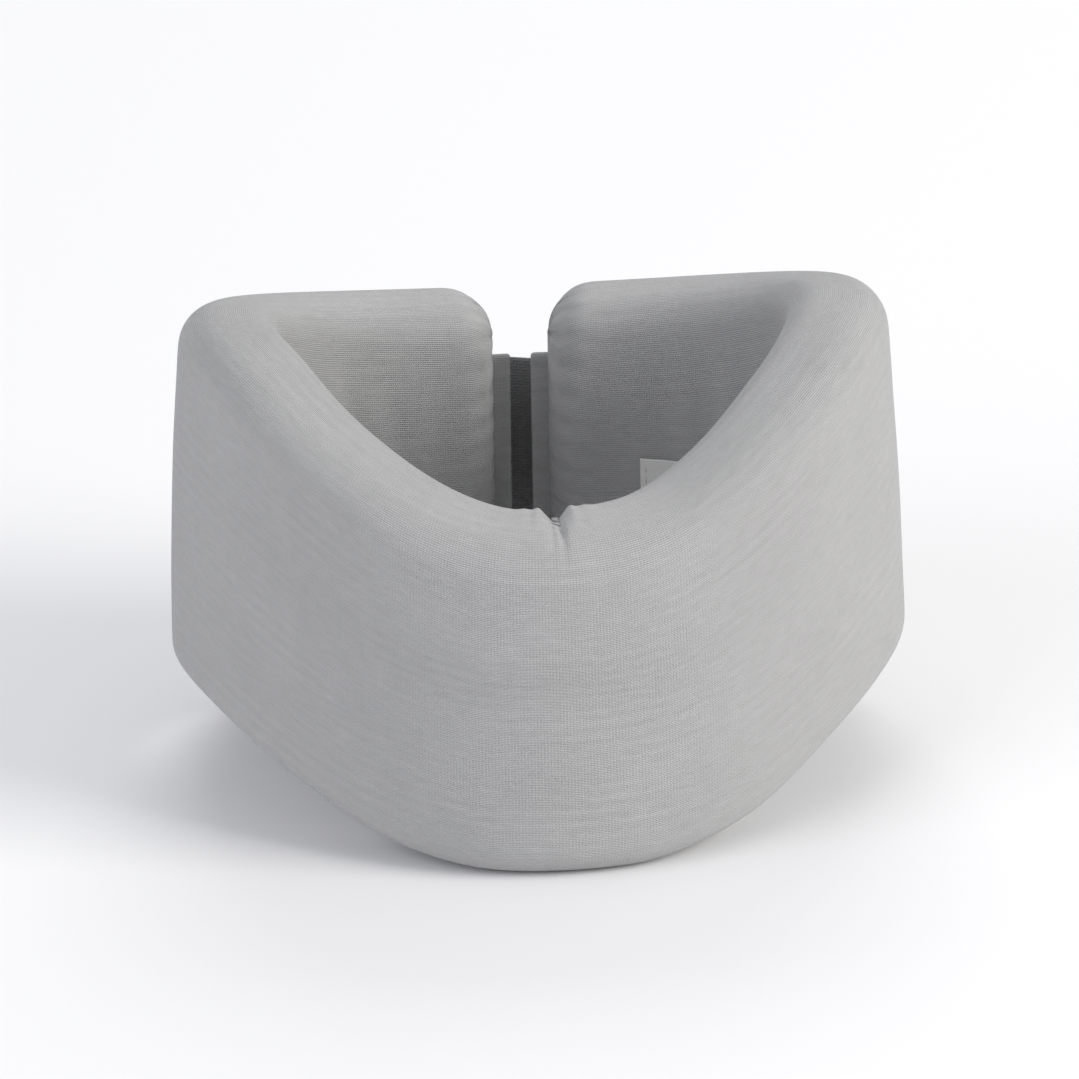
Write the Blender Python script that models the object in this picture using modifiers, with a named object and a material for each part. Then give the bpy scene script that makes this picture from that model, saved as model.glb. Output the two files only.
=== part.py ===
"""Soft cervical collar: a foam band in a knitted sleeve, closed at the nape with a hook-and-loop strap.

The collar stands on its lower edge. +Z is up, the chin faces -Y and the wearer's left is +X. The origin
lies under the middle of the whole collar, on the surface that it stands on. Lengths are in metres.

The band flexes all the way round. It is cut here into three stiff segments at two vertical planes, one
through each temple-side hinge line, so that the two wings swing open. The strap peels on a third hinge.
"""

import math

import bmesh
import bpy
import numpy as np
from mathutils import Matrix, Vector

# Plan of the band's outer face: x = HALF_WIDTH sin(a) (1 - egg cos(a)), y = CENTRE_Y - depth cos(a),
# where the angle a runs from 0 at the chin to 180 degrees at the nape. The front half's egg narrows it
# towards the chin, and the back half's follows from the depths so that the two halves meet smoothly.
HALF_WIDTH = 0.0826
CHIN_DEPTH = 0.064
NAPE_DEPTH = 0.076
EGG = 0.20
CENTRE_Y = -0.0079

# Section of the band: a rounded rectangle whose faces lean out towards the shoulders.
THICKNESS = 0.024
EDGE_RADIUS = 0.009
LEAN = 0.0042
CORNER_STEPS = 4

# Edges of the band: both dip at the chin, and the lower one rests at the chin and the nape.
CHIN_TOP = 0.0833
NAPE_TOP = 0.096
SIDE_RISE = 0.030
SIDE_ARCH = 0.023
CHIN_REST = math.radians(14)
NAPE_REST = math.radians(25)
RISE_POWER = 2.6
ARCH_POWER = 2.0
RIM_SLOPE = 0.2

# Cover, foam and the ends of the band.
KNIT = 0.0008
GAP = 0.0003
END_ARC = 0.008
END_BULGE = 0.008
END_THINNING = 0.005
END_ROUNDING = 0.010
HEM_LENGTH = 0.005
HEM_THICKNESS = 0.0018
HEM_MARGIN = 0.016
HEM_CORNER_START = 0.75  # share of the hem's length where its corners start
HEM_STITCHES = (0.2, 0.7)  # shares of the hem's length where its two rows of sewing lie
END_SHARES = (3.0, 1.8, 1.0, 0.6, 0.3, 0.1, 0.0)  # where sections lie near an end, in END_BULGE

# Hinge lines of the wings, just outside the outer face so that the segments part as they open.
HINGE_ANGLE = math.radians(80)
HINGE_OUT = 0.0025

# Closure at the nape: arcs are distances along the outer face from the nape, positive to the left.
# The flap peels about a line just outside the strap's root, which leans as the band's face does.
PEEL_OUT = 0.0003
STRAP_WIDTH = 0.050
STRAP_THICKNESS = 0.0012
STRAP_HEIGHT = 0.048
ANCHOR_ARC = 0.052
ROOT_ARC = 0.0092
TIP_ARC = -0.066
TIP_ROUNDING = 0.012
TIP_SHARES = (0.35, 0.65, 0.87, 1.0)  # where the tip's sections lie, in TIP_ROUNDING
LOOP_THICKNESS = 0.0015
LOOP_ARCS = (-0.0085, -0.090)
HOOK_THICKNESS = 0.0010
HOOK_ARCS = (-0.0125, -0.058)
HOOK_WIDTH = 0.043

# Sewing: every thread is one closed loop laid just off the fabric.
THREAD_RADIUS = 0.00028
THREAD_GAP = 0.0003
STITCH_INSET = 0.0018
SEAM_HEIGHT = 0.014
SEAM_WIDTH = 0.0026
DART_DROP = 0.010

# Care label, left blank, on the inner face near the left end.
LABEL_ARCS = (0.056, 0.034)
LABEL_LOW = 0.026
LABEL_HIGH = 0.058
LABEL_THICKNESS = 0.0005

# Fineness: sections of each stretch, steps of the plan's length, and the least angle between a strip's
# own section and one of the wings'.
CHIN_COLUMNS = 4
SIDE_COLUMNS = 8
WING_COLUMNS = 8
ARC_STEPS = 721
SECTION_GAP = 0.01
PIVOT_SIZE = 0.02


def smooth_step(value):
    """Ease a value from 0 to 1."""
    value = min(max(value, 0.0), 1.0)
    return value * value * (3.0 - 2.0 * value)


def from_chin(angle):
    """Turn any angle into its distance from the chin, 0 to pi on either side."""
    return abs((angle + math.pi) % (2.0 * math.pi) - math.pi)


def lower_edge(angle):
    """Height of the band's lower edge: flat at the chin and the nape, arched over the shoulders."""
    away = from_chin(angle)
    quarter = math.pi / 2.0
    if away < quarter:
        rise = (away - CHIN_REST) / (quarter - CHIN_REST)
    else:
        rise = (math.pi - away - NAPE_REST) / (quarter - NAPE_REST)
    return SIDE_ARCH * math.sin(min(max(rise, 0.0), 1.0) * quarter) ** ARCH_POWER


def upper_edge(angle):
    """Height of the band's upper edge: lowest under the chin, highest under the ears."""
    away = from_chin(angle)
    if away < math.pi / 2.0:
        return CHIN_TOP + SIDE_RISE * math.sin(away) ** RISE_POWER
    return NAPE_TOP + (CHIN_TOP + SIDE_RISE - NAPE_TOP) * math.sin(away) ** 2


def half_shape(angle):
    """Depth and egg of the half of the plan that an angle lies in."""
    depth = CHIN_DEPTH if math.cos(angle) > 0.0 else NAPE_DEPTH
    return depth, EGG * depth / CHIN_DEPTH


def plan_slope(angle):
    """Direction and speed of the outer face's curve at an angle: its derivative by the angle."""
    depth, egg = half_shape(angle)
    return Vector((HALF_WIDTH * (math.cos(angle) - egg * math.cos(2.0 * angle)), depth * math.sin(angle)))


def plan_point(angle, out):
    """Point of the plan at a distance outside the outer face's curve."""
    depth, egg = half_shape(angle)
    along = plan_slope(angle).normalized()
    x = HALF_WIDTH * math.sin(angle) * (1.0 - egg * math.cos(angle))
    y = CENTRE_Y - depth * math.cos(angle)
    return x + along.y * out, y - along.x * out


def band_point(angle, out, height):
    """Point at an angle round the band, a distance outside its outer face, and a height."""
    low, high = lower_edge(angle), upper_edge(angle)
    share = (height - low) / (high - low) - 0.5
    return Vector((*plan_point(angle, out - LEAN * share), height))


def arc_table():
    """Arc lengths along the outer face from the nape to the chin, with the angle at each."""
    angles = np.linspace(math.pi, 0.0, ARC_STEPS)
    points = np.array([plan_point(angle, 0.0) for angle in angles])
    steps = np.hypot(*np.diff(points, axis=0).T)
    return np.concatenate(([0.0], np.cumsum(steps))), angles


ARC_LENGTHS, ARC_ANGLES = arc_table()


def nape_angle(arc):
    """Angle at an arc from the nape: below pi on the left, above pi on the right."""
    angle = float(np.interp(abs(arc), ARC_LENGTHS, ARC_ANGLES))
    return angle if arc >= 0.0 else 2.0 * math.pi - angle


def seam_shift(angle):
    """Half the gap between two segments, as an angle."""
    return GAP / 2.0 / plan_slope(angle).length


def front_columns():
    """Angles of the front segment's sections, from the right hinge line to the left one."""
    end = HINGE_ANGLE - seam_shift(HINGE_ANGLE)
    side = np.linspace(CHIN_REST, end, SIDE_COLUMNS + 1)
    chin = np.linspace(-CHIN_REST, CHIN_REST, CHIN_COLUMNS + 1)
    return [float(a) for a in (*(-side[::-1]), *chin[1:-1], *side)]


def wing_columns(inset):
    """Angles of the left wing's sections with each one's distance from the wing's end."""
    start = HINGE_ANGLE + seam_shift(HINGE_ANGLE)
    arcs = [END_ARC + inset + END_BULGE * share for share in END_SHARES]
    body = np.linspace(start, math.pi - NAPE_REST, WING_COLUMNS + 1)
    ends = [(nape_angle(arc), arc - END_ARC - inset) for arc in arcs]
    return [(float(a), END_BULGE) for a in body] + ends


def mirror_columns(columns):
    """The right wing's sections, in the order that keeps the loft running the same way round."""
    return [(2.0 * math.pi - angle, distance) for angle, distance in reversed(columns)]


def section(angle, inset, distance=END_BULGE):
    """Ring of points round the band at an angle: over the top, down the outer face and back inside.

    The ring is drawn in by inset on every side, and by more within END_BULGE of the band's end.
    """
    closeness = 1.0 - min(distance / END_BULGE, 1.0)
    bulge = 1.0 - math.sqrt(1.0 - closeness ** 2)
    thin = inset + END_THINNING * bulge
    low = lower_edge(angle) + inset + END_ROUNDING * bulge
    high = upper_edge(angle) - inset - END_ROUNDING * bulge
    radius = EDGE_RADIUS - inset
    slope = RIM_SLOPE * max(math.cos(angle), 0.0) ** 2
    outer, inner = -thin - radius, thin + radius - THICKNESS
    centres = ((outer, high - radius, 90.0), (outer, low + radius, 0.0),
               (inner, low + radius, -90.0), (inner, high - radius, -180.0))
    ring = []
    for out, height, start in centres:
        for step in range(CORNER_STEPS + 1):
            turn = math.radians(start - 90.0 * step / CORNER_STEPS)
            point_out = out + radius * math.cos(turn)
            point_height = height + radius * math.sin(turn)
            if height > (low + high) / 2.0:
                point_height -= slope * (point_out + THICKNESS / 2.0)
            ring.append(band_point(angle, point_out, point_height))
    return ring


class Body:
    """A rigid body of the collar: a pivot on its joint's axis, and the pieces that move with it."""

    def __init__(self, name, pivot, parent, collection):
        self.pivot = Vector(pivot)
        self.collection = collection
        self.empty = bpy.data.objects.new(f"{name}_pivot", None)
        self.empty.empty_display_size = PIVOT_SIZE
        self.empty.location = self.pivot - (parent.pivot if parent else Vector())
        self.empty.parent = parent.empty if parent else None
        collection.objects.link(self.empty)

    def add(self, name, data, material):
        """Hang a piece modelled in the collar's frame on this body."""
        data.transform(Matrix.Translation(-self.pivot))
        data.materials.append(material)
        piece = bpy.data.objects.new(name, data)
        piece.parent = self.empty
        self.collection.objects.link(piece)
        return piece


def make_material(name, colour, roughness):
    """A Principled material; every part of the collar is non-metallic."""
    material = bpy.data.materials.new(name)
    material.use_nodes = True
    shader = material.node_tree.nodes["Principled BSDF"]
    shader.inputs["Base Color"].default_value = (*colour, 1.0)
    shader.inputs["Roughness"].default_value = roughness
    shader.inputs["Metallic"].default_value = 0.0
    material.diffuse_color = (*colour, 1.0)
    return material


def loft(name, rings, close_start, close_end):
    """Skin a row of rings, each wound clockwise seen from the row's start, and close chosen ends."""
    mesh = bpy.data.meshes.new(name)
    build = bmesh.new()
    rows = [[build.verts.new(point) for point in ring] for ring in rings]
    for near, far in zip(rows, rows[1:]):
        for index, vertex in enumerate(near):
            after = (index + 1) % len(near)
            build.faces.new((vertex, near[after], far[after], far[index]))
    if close_start:
        build.faces.new(rows[0][::-1])
    if close_end:
        build.faces.new(rows[-1])
    build.to_mesh(mesh)
    build.free()
    mesh.shade_smooth()
    mesh.set_sharp_from_angle(angle=math.radians(50))
    return mesh


def thicken(piece, thickness, outwards):
    """Give an open surface its wall."""
    solidify = piece.modifiers.new("wall", "SOLIDIFY")
    solidify.thickness = thickness
    solidify.offset = 1.0 if outwards else -1.0
    solidify.use_even_offset = True


def add_segment(body, side, columns, foam_columns, closed, materials):
    """Sleeve and foam of one segment of the band; closed names its end that has a cap."""
    rings = [section(angle, 0.0, distance) for angle, distance in columns]
    sleeve = loft(f"cover_{side}", rings, closed == "start", closed == "end")
    thicken(body.add(f"cover_{side}", sleeve, materials["knit"]), KNIT, outwards=False)
    rings = [section(angle, KNIT + GAP, distance) for angle, distance in foam_columns]
    body.add(f"foam_core_{side}", loft(f"foam_core_{side}", rings, True, True), materials["foam"])


def strip(name, columns, out):
    """Open sheet that follows the band: each column is an angle, a low and a high height."""
    mesh = bpy.data.meshes.new(name)
    build = bmesh.new()
    rows = []
    for angle, low, high in columns:
        reach = out(angle) if callable(out) else out
        rows.append([build.verts.new(band_point(angle, reach, height)) for height in (high, low)])
    for (top, bottom), (next_top, next_bottom) in zip(rows, rows[1:]):
        build.faces.new((top, bottom, next_bottom, next_top))
    build.to_mesh(mesh)
    build.free()
    return mesh


def columns_between(start, end):
    """Angles from start to end that meet the wings' own sections, so the facets lie parallel."""
    wing = [angle for angle, distance in wing_columns(0.0)]
    sections = wing + [2.0 * math.pi - angle for angle in wing]
    inside = sorted(angle for angle in sections if start + SECTION_GAP < angle < end - SECTION_GAP)
    return [start, *inside, end]


def patch(name, body, arcs, width, out, thickness, material):
    """Rectangle of tape or webbing on the outer face between two arcs, level with the strap."""
    low, high = STRAP_HEIGHT - width / 2.0, STRAP_HEIGHT + width / 2.0
    columns = [(angle, low, high) for angle in columns_between(nape_angle(arcs[0]), nape_angle(arcs[1]))]
    thicken(body.add(name, strip(name, columns, out), material), thickness, outwards=True)


def thread(name, body, points, material):
    """Closed loop of thread through points."""
    curve = bpy.data.curves.new(name, "CURVE")
    curve.dimensions = "3D"
    curve.bevel_depth = THREAD_RADIUS
    curve.bevel_resolution = 1
    spline = curve.splines.new("POLY")
    spline.points.add(len(points) - 1)
    for slot, point in zip(spline.points, points):
        slot.co = (*point, 1.0)
    spline.use_cyclic_u = True
    body.add(name, curve, material)


def stitched_box(angles, low, high, out):
    """Points of a loop on the band's face: along the low edge, up, and back along the high edge."""
    def at(angle, height):
        return band_point(angle, out(angle) if callable(out) else out, height(angle))

    return [at(angle, low) for angle in angles] + [at(angle, high) for angle in reversed(angles)]


def level(height):
    """A height that is the same all along a loop."""
    return lambda angle: height


def box_stitches(name, body, arcs, width, out, material):
    """Stitching just inside the edges of a patch."""
    start = nape_angle(arcs[0]) + STITCH_INSET / HALF_WIDTH
    end = nape_angle(arcs[1]) - STITCH_INSET / HALF_WIDTH
    half = width / 2.0 - STITCH_INSET
    low, high = level(STRAP_HEIGHT - half), level(STRAP_HEIGHT + half)
    thread(name, body, stitched_box(columns_between(start, end), low, high, out), material)


def add_inner_seam(body, side, angles, material):
    """Sewn seam of the sleeve, low on its inner face."""
    def low(angle):
        return lower_edge(angle) + SEAM_HEIGHT

    def high(angle):
        return lower_edge(angle) + SEAM_HEIGHT + SEAM_WIDTH

    out = -THICKNESS - THREAD_GAP - THREAD_RADIUS
    thread(f"inner_seam_{side}", body, stitched_box(angles, low, high, out), material)


def strap_out(angle):
    """Distance of the flap's inner side from the band: it climbs from the left end over the tapes."""
    arc = (math.pi - angle) * plan_slope(math.pi).length
    climb = smooth_step((ROOT_ARC - arc) / (ROOT_ARC - LOOP_ARCS[0]))
    return GAP + climb * (LOOP_THICKNESS + HOOK_THICKNESS + 2.0 * GAP)


def add_flap(body, materials):
    """Free part of the strap with its round-cornered tip, the hook tape under it and its sewing."""
    columns = []
    for angle in columns_between(nape_angle(ROOT_ARC - GAP), nape_angle(TIP_ARC + TIP_ROUNDING)):
        columns.append((angle, STRAP_HEIGHT - STRAP_WIDTH / 2.0, STRAP_HEIGHT + STRAP_WIDTH / 2.0))
    for share in TIP_SHARES:
        half = STRAP_WIDTH / 2.0 - TIP_ROUNDING * (1.0 - math.sqrt(1.0 - share ** 2))
        angle = nape_angle(TIP_ARC + TIP_ROUNDING * (1.0 - share))
        columns.append((angle, STRAP_HEIGHT - half, STRAP_HEIGHT + half))
    flap = body.add("strap_flap", strip("strap_flap", columns, strap_out), materials["webbing"])
    thicken(flap, STRAP_THICKNESS, outwards=True)
    hook_out = GAP + LOOP_THICKNESS + GAP
    patch("hook_tape", body, HOOK_ARCS, HOOK_WIDTH, hook_out, HOOK_THICKNESS, materials["hook"])

    def above_flap(angle):
        return strap_out(angle) + STRAP_THICKNESS + THREAD_GAP + THREAD_RADIUS

    box_stitches("hook_tape_stitches", body, HOOK_ARCS, HOOK_WIDTH, above_flap, materials["thread"])


def add_end(body, side, material, thread_material):
    """Flattened hem that closes the sleeve at the band's end, and the sewing through it."""
    sign = 1.0 if side == "left" else -1.0
    low = HEM_MARGIN
    high = NAPE_TOP - HEM_MARGIN
    corner = HEM_LENGTH / 4.0
    columns = []
    for share, trim in ((0.0, 0.0), (HEM_CORNER_START, 0.0), (1.0, corner)):
        arc = END_ARC - GAP - HEM_LENGTH * share
        columns.append((nape_angle(sign * arc), low + trim, high - trim))
    if side == "right":
        columns.reverse()
    middle = -THICKNESS / 2.0
    flat = strip(f"{side}_end_hem", columns, middle - HEM_THICKNESS / 2.0)
    thicken(body.add(f"{side}_end_hem", flat, material), HEM_THICKNESS, outwards=True)
    angles = [nape_angle(sign * (END_ARC - GAP - HEM_LENGTH * share)) for share in HEM_STITCHES]
    out = middle + HEM_THICKNESS / 2.0 + THREAD_GAP + THREAD_RADIUS
    points = stitched_box(angles, level(low + STITCH_INSET), level(high - STITCH_INSET), out)
    thread(f"{side}_end_stitches", body, points, thread_material)


def add_chin_dart(body, material):
    """Short tuck sewn over the inner top edge under the chin."""
    rim = section(0.0, -THREAD_GAP - THREAD_RADIUS)[3 * (CORNER_STEPS + 1):]
    top = rim[::-1]
    path = [*top, top[-1] + Vector((0.0, 0.0, -DART_DROP))]
    side = Vector((SEAM_WIDTH / 2.0, 0.0, 0.0))
    loop = [p - side for p in path] + [p + side for p in reversed(path)]
    thread("chin_dart_stitches", body, loop, material)


def add_label(body, materials):
    """Blank care label on the inner face, sewn along its front edge."""
    start, end = (nape_angle(arc) for arc in LABEL_ARCS)
    columns = [(angle, LABEL_LOW, LABEL_HIGH) for angle in columns_between(start, end)]
    out = -THICKNESS - GAP - LABEL_THICKNESS
    label = body.add("care_label", strip("care_label", columns, out), materials["label"])
    thicken(label, LABEL_THICKNESS, outwards=True)
    angles = [start + STITCH_INSET / HALF_WIDTH, start + 2.0 * STITCH_INSET / HALF_WIDTH]
    out -= THREAD_GAP + THREAD_RADIUS
    points = stitched_box(angles, level(LABEL_LOW + STITCH_INSET), level(LABEL_HIGH - STITCH_INSET), out)
    thread("care_label_stitches", body, points, materials["thread"])


def clear_scene():
    """Remove the objects that the scene starts with."""
    for piece in list(bpy.data.objects):
        bpy.data.objects.remove(piece, do_unlink=True)


def build_collar():
    """Model the collar."""
    clear_scene()
    collection = bpy.data.collections.new("cervical_collar")
    bpy.context.scene.collection.children.link(collection)
    materials = {
        "knit": make_material("knit", (0.42, 0.42, 0.425), 0.90),
        "foam": make_material("foam", (0.80, 0.77, 0.66), 0.95),
        "webbing": make_material("webbing", (0.33, 0.33, 0.335), 0.80),
        "hook": make_material("hook", (0.30, 0.30, 0.305), 0.55),
        "loop": make_material("loop", (0.38, 0.38, 0.385), 0.95),
        "thread": make_material("thread", (0.36, 0.36, 0.365), 0.70),
        "label": make_material("label", (0.82, 0.82, 0.80), 0.60),
    }

    hinge = plan_point(HINGE_ANGLE, HINGE_OUT)
    front = Body("front", (0.0, 0.0, 0.0), None, collection)
    left = Body("left_wing", (hinge[0], hinge[1], 0.0), front, collection)
    right = Body("right_wing", (-hinge[0], hinge[1], 0.0), front, collection)
    root = plan_point(nape_angle(ROOT_ARC), GAP + STRAP_THICKNESS + PEEL_OUT)
    tab = Body("closure_tab", (root[0], root[1], STRAP_HEIGHT), left, collection)

    front_angles = front_columns()
    front_sections = [(angle, END_BULGE) for angle in front_angles]
    left_sections = wing_columns(0.0)
    left_foam = wing_columns(KNIT + GAP)
    add_segment(front, "front", front_sections, front_sections, None, materials)
    add_segment(left, "left", left_sections, left_foam, "end", materials)
    add_segment(right, "right", mirror_columns(left_sections), mirror_columns(left_foam), "start", materials)

    seam_angles = [angle for angle, distance in left_sections if angle < math.pi - NAPE_REST]
    add_inner_seam(front, "front", front_angles[1:-1], materials["thread"])
    add_inner_seam(left, "left", seam_angles[1:], materials["thread"])
    add_inner_seam(right, "right", [-angle for angle in seam_angles[:0:-1]], materials["thread"])
    add_chin_dart(front, materials["thread"])
    add_end(left, "left", materials["knit"], materials["thread"])
    add_end(right, "right", materials["knit"], materials["thread"])

    anchor_arcs = (ANCHOR_ARC, ROOT_ARC)
    patch("strap_anchor", left, anchor_arcs, STRAP_WIDTH, GAP, STRAP_THICKNESS, materials["webbing"])
    above_anchor = GAP + STRAP_THICKNESS + THREAD_GAP + THREAD_RADIUS
    box_stitches("strap_anchor_stitches", left, anchor_arcs, STRAP_WIDTH, above_anchor, materials["thread"])
    add_label(left, materials)
    patch("loop_tape", right, LOOP_ARCS, STRAP_WIDTH, GAP, LOOP_THICKNESS, materials["loop"])
    above_loop = GAP + LOOP_THICKNESS + THREAD_GAP + THREAD_RADIUS
    box_stitches("loop_tape_stitches", right, LOOP_ARCS, STRAP_WIDTH, above_loop, materials["thread"])
    add_flap(tab, materials)


build_collar()
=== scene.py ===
"""Looks of a soft cervical collar: a knitted sleeve over a foam band, closed at the nape by a strap.

The collar stands on its lower edge with the chin side facing -Y. Every length is in metres.
"""

import logging
import math
from collections.abc import Callable
from dataclasses import dataclass, field
from enum import Enum

import bmesh
import bpy
import numpy as np
from mathutils import Matrix, Vector


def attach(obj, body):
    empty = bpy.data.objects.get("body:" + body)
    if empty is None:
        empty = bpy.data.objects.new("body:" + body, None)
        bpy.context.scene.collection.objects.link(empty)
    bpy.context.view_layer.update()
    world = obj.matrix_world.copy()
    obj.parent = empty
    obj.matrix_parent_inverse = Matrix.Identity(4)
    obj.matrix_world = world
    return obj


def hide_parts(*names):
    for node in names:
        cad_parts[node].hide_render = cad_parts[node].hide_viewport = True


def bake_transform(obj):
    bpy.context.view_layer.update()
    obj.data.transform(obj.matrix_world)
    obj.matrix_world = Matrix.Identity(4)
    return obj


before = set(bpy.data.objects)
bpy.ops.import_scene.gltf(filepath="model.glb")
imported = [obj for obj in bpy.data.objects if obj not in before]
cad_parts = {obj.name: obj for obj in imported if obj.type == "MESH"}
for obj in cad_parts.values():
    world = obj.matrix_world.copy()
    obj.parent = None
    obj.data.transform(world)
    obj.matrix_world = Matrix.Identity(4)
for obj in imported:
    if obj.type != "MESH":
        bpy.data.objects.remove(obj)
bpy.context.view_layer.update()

MM = 0.001
LOG = logging.getLogger("collar")
Socket = bpy.types.NodeSocket
Rise = Callable[[np.ndarray], np.ndarray]  # a strip's height over the band, by its distance from the nape
STITCH_INSET = 1.8 * MM  # from a tape's edge to the sewing inside it
THREAD_SINK = 0.10 * MM  # how far that sewing is drawn into the cloth
UPRIGHT = np.array((0.0, 0.0, 1.0))


class Side(Enum):
    """Which half of the collar a piece belongs to; the value is the sign of its X."""

    LEFT = 1
    RIGHT = -1

    @property
    def word(self) -> str:
        """The side's name in a piece's name."""
        return self.name.lower()


class Grain(Enum):
    """Which cloth pattern a woven or knitted finish shows."""

    KNIT = "knit"
    TWILL = "twill"
    SATIN = "satin"


# ---------------------------------------------------------------------------------------------------
# Shape of the band
# ---------------------------------------------------------------------------------------------------


def smooth_step(value: np.ndarray) -> np.ndarray:
    """Ease values from 0 to 1: 3v^2 - 2v^3 between the two, and level outside them."""
    value = np.clip(value, 0.0, 1.0)
    return value * value * (3.0 - 2.0 * value)


def bump(distance: np.ndarray, width: float) -> np.ndarray:
    """Bell of height 1: e to the power of minus (distance / width) squared."""
    return np.exp(-(distance / width) ** 2)


@dataclass(frozen=True)
class BandShape:
    """The foam band's plan, edges and section, as functions of the angle from the chin.

    The plan of the outer face is x = half_width sin(a) (1 - egg cos(a)), y = centre_y - depth cos(a).
    Angles are 0 at the chin and pi at the nape; those past pi go on round the right side.
    """

    half_width: float = 0.0826
    chin_depth: float = 0.064
    nape_depth: float = 0.076
    egg: float = 0.20
    centre_y: float = -0.0079
    thickness: float = 0.024
    edge_radius: float = 0.009
    lean: float = 0.0042
    chin_top: float = 0.0833
    nape_top: float = 0.096
    side_rise: float = 0.030
    side_arch: float = 0.023
    chin_rest: float = math.radians(14)
    nape_rest: float = math.radians(25)
    rise_power: float = 2.6
    arch_power: float = 2.0
    rim_slope: float = 0.2

    def away(self, angle: np.ndarray) -> np.ndarray:
        """Distance of any angle from the chin, from 0 to pi on either side."""
        return np.abs((np.asarray(angle) + math.pi) % (2.0 * math.pi) - math.pi)

    def low(self, angle: np.ndarray) -> np.ndarray:
        """Height of the lower edge: level at the chin and the nape, arched between them.

        Args:
            angle: angles from the chin.

        Returns:
            Heights: side_arch times a sine of the way up the arch, to arch_power.
        """
        away, quarter = self.away(angle), math.pi / 2.0
        chin_side = (away - self.chin_rest) / (quarter - self.chin_rest)
        nape_side = (math.pi - away - self.nape_rest) / (quarter - self.nape_rest)
        rise = np.clip(np.where(away < quarter, chin_side, nape_side), 0.0, 1.0)
        return self.side_arch * np.sin(rise * quarter) ** self.arch_power

    def high(self, angle: np.ndarray) -> np.ndarray:
        """Height of the upper edge: lowest under the chin, highest under the ears.

        Args:
            angle: angles from the chin.

        Returns:
            Heights: a power of the angle's sine over the chin's height, and its square behind the ears.
        """
        away = self.away(angle)
        chin_side = self.chin_top + self.side_rise * np.sin(away) ** self.rise_power
        crest = self.chin_top + self.side_rise
        nape_side = self.nape_top + (crest - self.nape_top) * np.sin(away) ** 2
        return np.where(away < math.pi / 2.0, chin_side, nape_side)

    def halves(self, angle: np.ndarray) -> tuple[np.ndarray, np.ndarray]:
        """Depth and egg of the half that each angle is in; the rear egg makes the halves meet smoothly."""
        depth = np.where(np.cos(angle) > 0.0, self.chin_depth, self.nape_depth)
        return depth, self.egg * depth / self.chin_depth

    def slope(self, angle: np.ndarray) -> tuple[np.ndarray, np.ndarray]:
        """Derivative of the plan by the angle, as its X and Y parts."""
        depth, egg = self.halves(angle)
        return self.half_width * (np.cos(angle) - egg * np.cos(2.0 * angle)), depth * np.sin(angle)

    def plan(self, angle: np.ndarray, out: np.ndarray) -> tuple[np.ndarray, np.ndarray]:
        """The plan of the outer face, moved outwards square to itself.

        Args:
            angle: angles from the chin.
            out: distances outside the outer face's curve.

        Returns:
            X and Y of the points.
        """
        depth, egg = self.halves(angle)
        along_x, along_y = self.slope(angle)
        length = np.hypot(along_x, along_y)
        x = self.half_width * np.sin(angle) * (1.0 - egg * np.cos(angle))
        y = self.centre_y - depth * np.cos(angle)
        return x + along_y / length * out, y - along_x / length * out

    def point(self, angle: np.ndarray, out: np.ndarray, height: np.ndarray) -> np.ndarray:
        """Points at angles round the band, distances outside its outer face, and heights.

        Args:
            angle: angles from the chin.
            out: distances outside the outer face, negative inside.
            height: heights over the surface that the collar stands on.

        Returns:
            An array of the arguments' shared shape, with X, Y and Z along a new last axis.
        """
        low, high = self.low(angle), self.high(angle)
        share = (height - low) / (high - low) - 0.5
        x, y = self.plan(angle, out - self.lean * share)
        return np.stack(np.broadcast_arrays(x, y, height), axis=-1)

    def arcs(self) -> tuple[np.ndarray, np.ndarray]:
        """Measure the outer face in fine steps.

        Returns:
            Distances along it from the chin to the nape, and the angle at each.
        """
        angles = np.linspace(0.0, math.pi, 2001)
        x, y = self.plan(angles, np.zeros_like(angles))
        steps = np.hypot(np.diff(x), np.diff(y))
        return np.concatenate(([0.0], np.cumsum(steps))), angles

    def angle_at(self, arc: np.ndarray) -> np.ndarray:
        """Angle at distances along the outer face, read from the measured steps.

        Args:
            arc: distances from the chin, positive to the left; those past the nape go on round.

        Returns:
            The angles.
        """
        lengths, angles = self.arcs()
        arc = np.asarray(arc, float)
        total = lengths[-1]
        inside = np.interp(np.minimum(np.abs(arc), 2.0 * total - np.abs(arc)), lengths, angles)
        angle = np.where(np.abs(arc) <= total, inside, 2.0 * math.pi - inside)
        return np.sign(arc) * angle

    def nape_angle(self, arc: np.ndarray) -> np.ndarray:
        """Angle at distances from the nape, positive to the left and negative past it to the right."""
        return self.angle_at(self.half_length() - np.asarray(arc, float))

    def half_length(self) -> float:
        """Length of the outer face from the chin to the nape."""
        return float(self.arcs()[0][-1])


BAND = BandShape()


@dataclass(frozen=True)
class Rounding:
    """How the band's section closes towards one of its ends.

    The thickness and the height follow a superellipse quarter over the given lengths.
    """

    end_arc: float = 8.0 * MM
    reach: float = 0.5 * MM
    thin_length: float = 11.0 * MM
    round_length: float = 13.0 * MM
    round_height: float = 11.0 * MM
    hem_half: float = 0.15 * MM
    power: float = 2.3

    def share(self, distance: np.ndarray, length: float) -> np.ndarray:
        """Height of the superellipse quarter, from 0 at its end to 1 at length: (1 - (1 - x)^p)^(1/p)."""
        inside = np.clip((distance + self.reach) / length, 0.0, 1.0)
        return (1.0 - (1.0 - inside) ** self.power) ** (1.0 / self.power)


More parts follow.
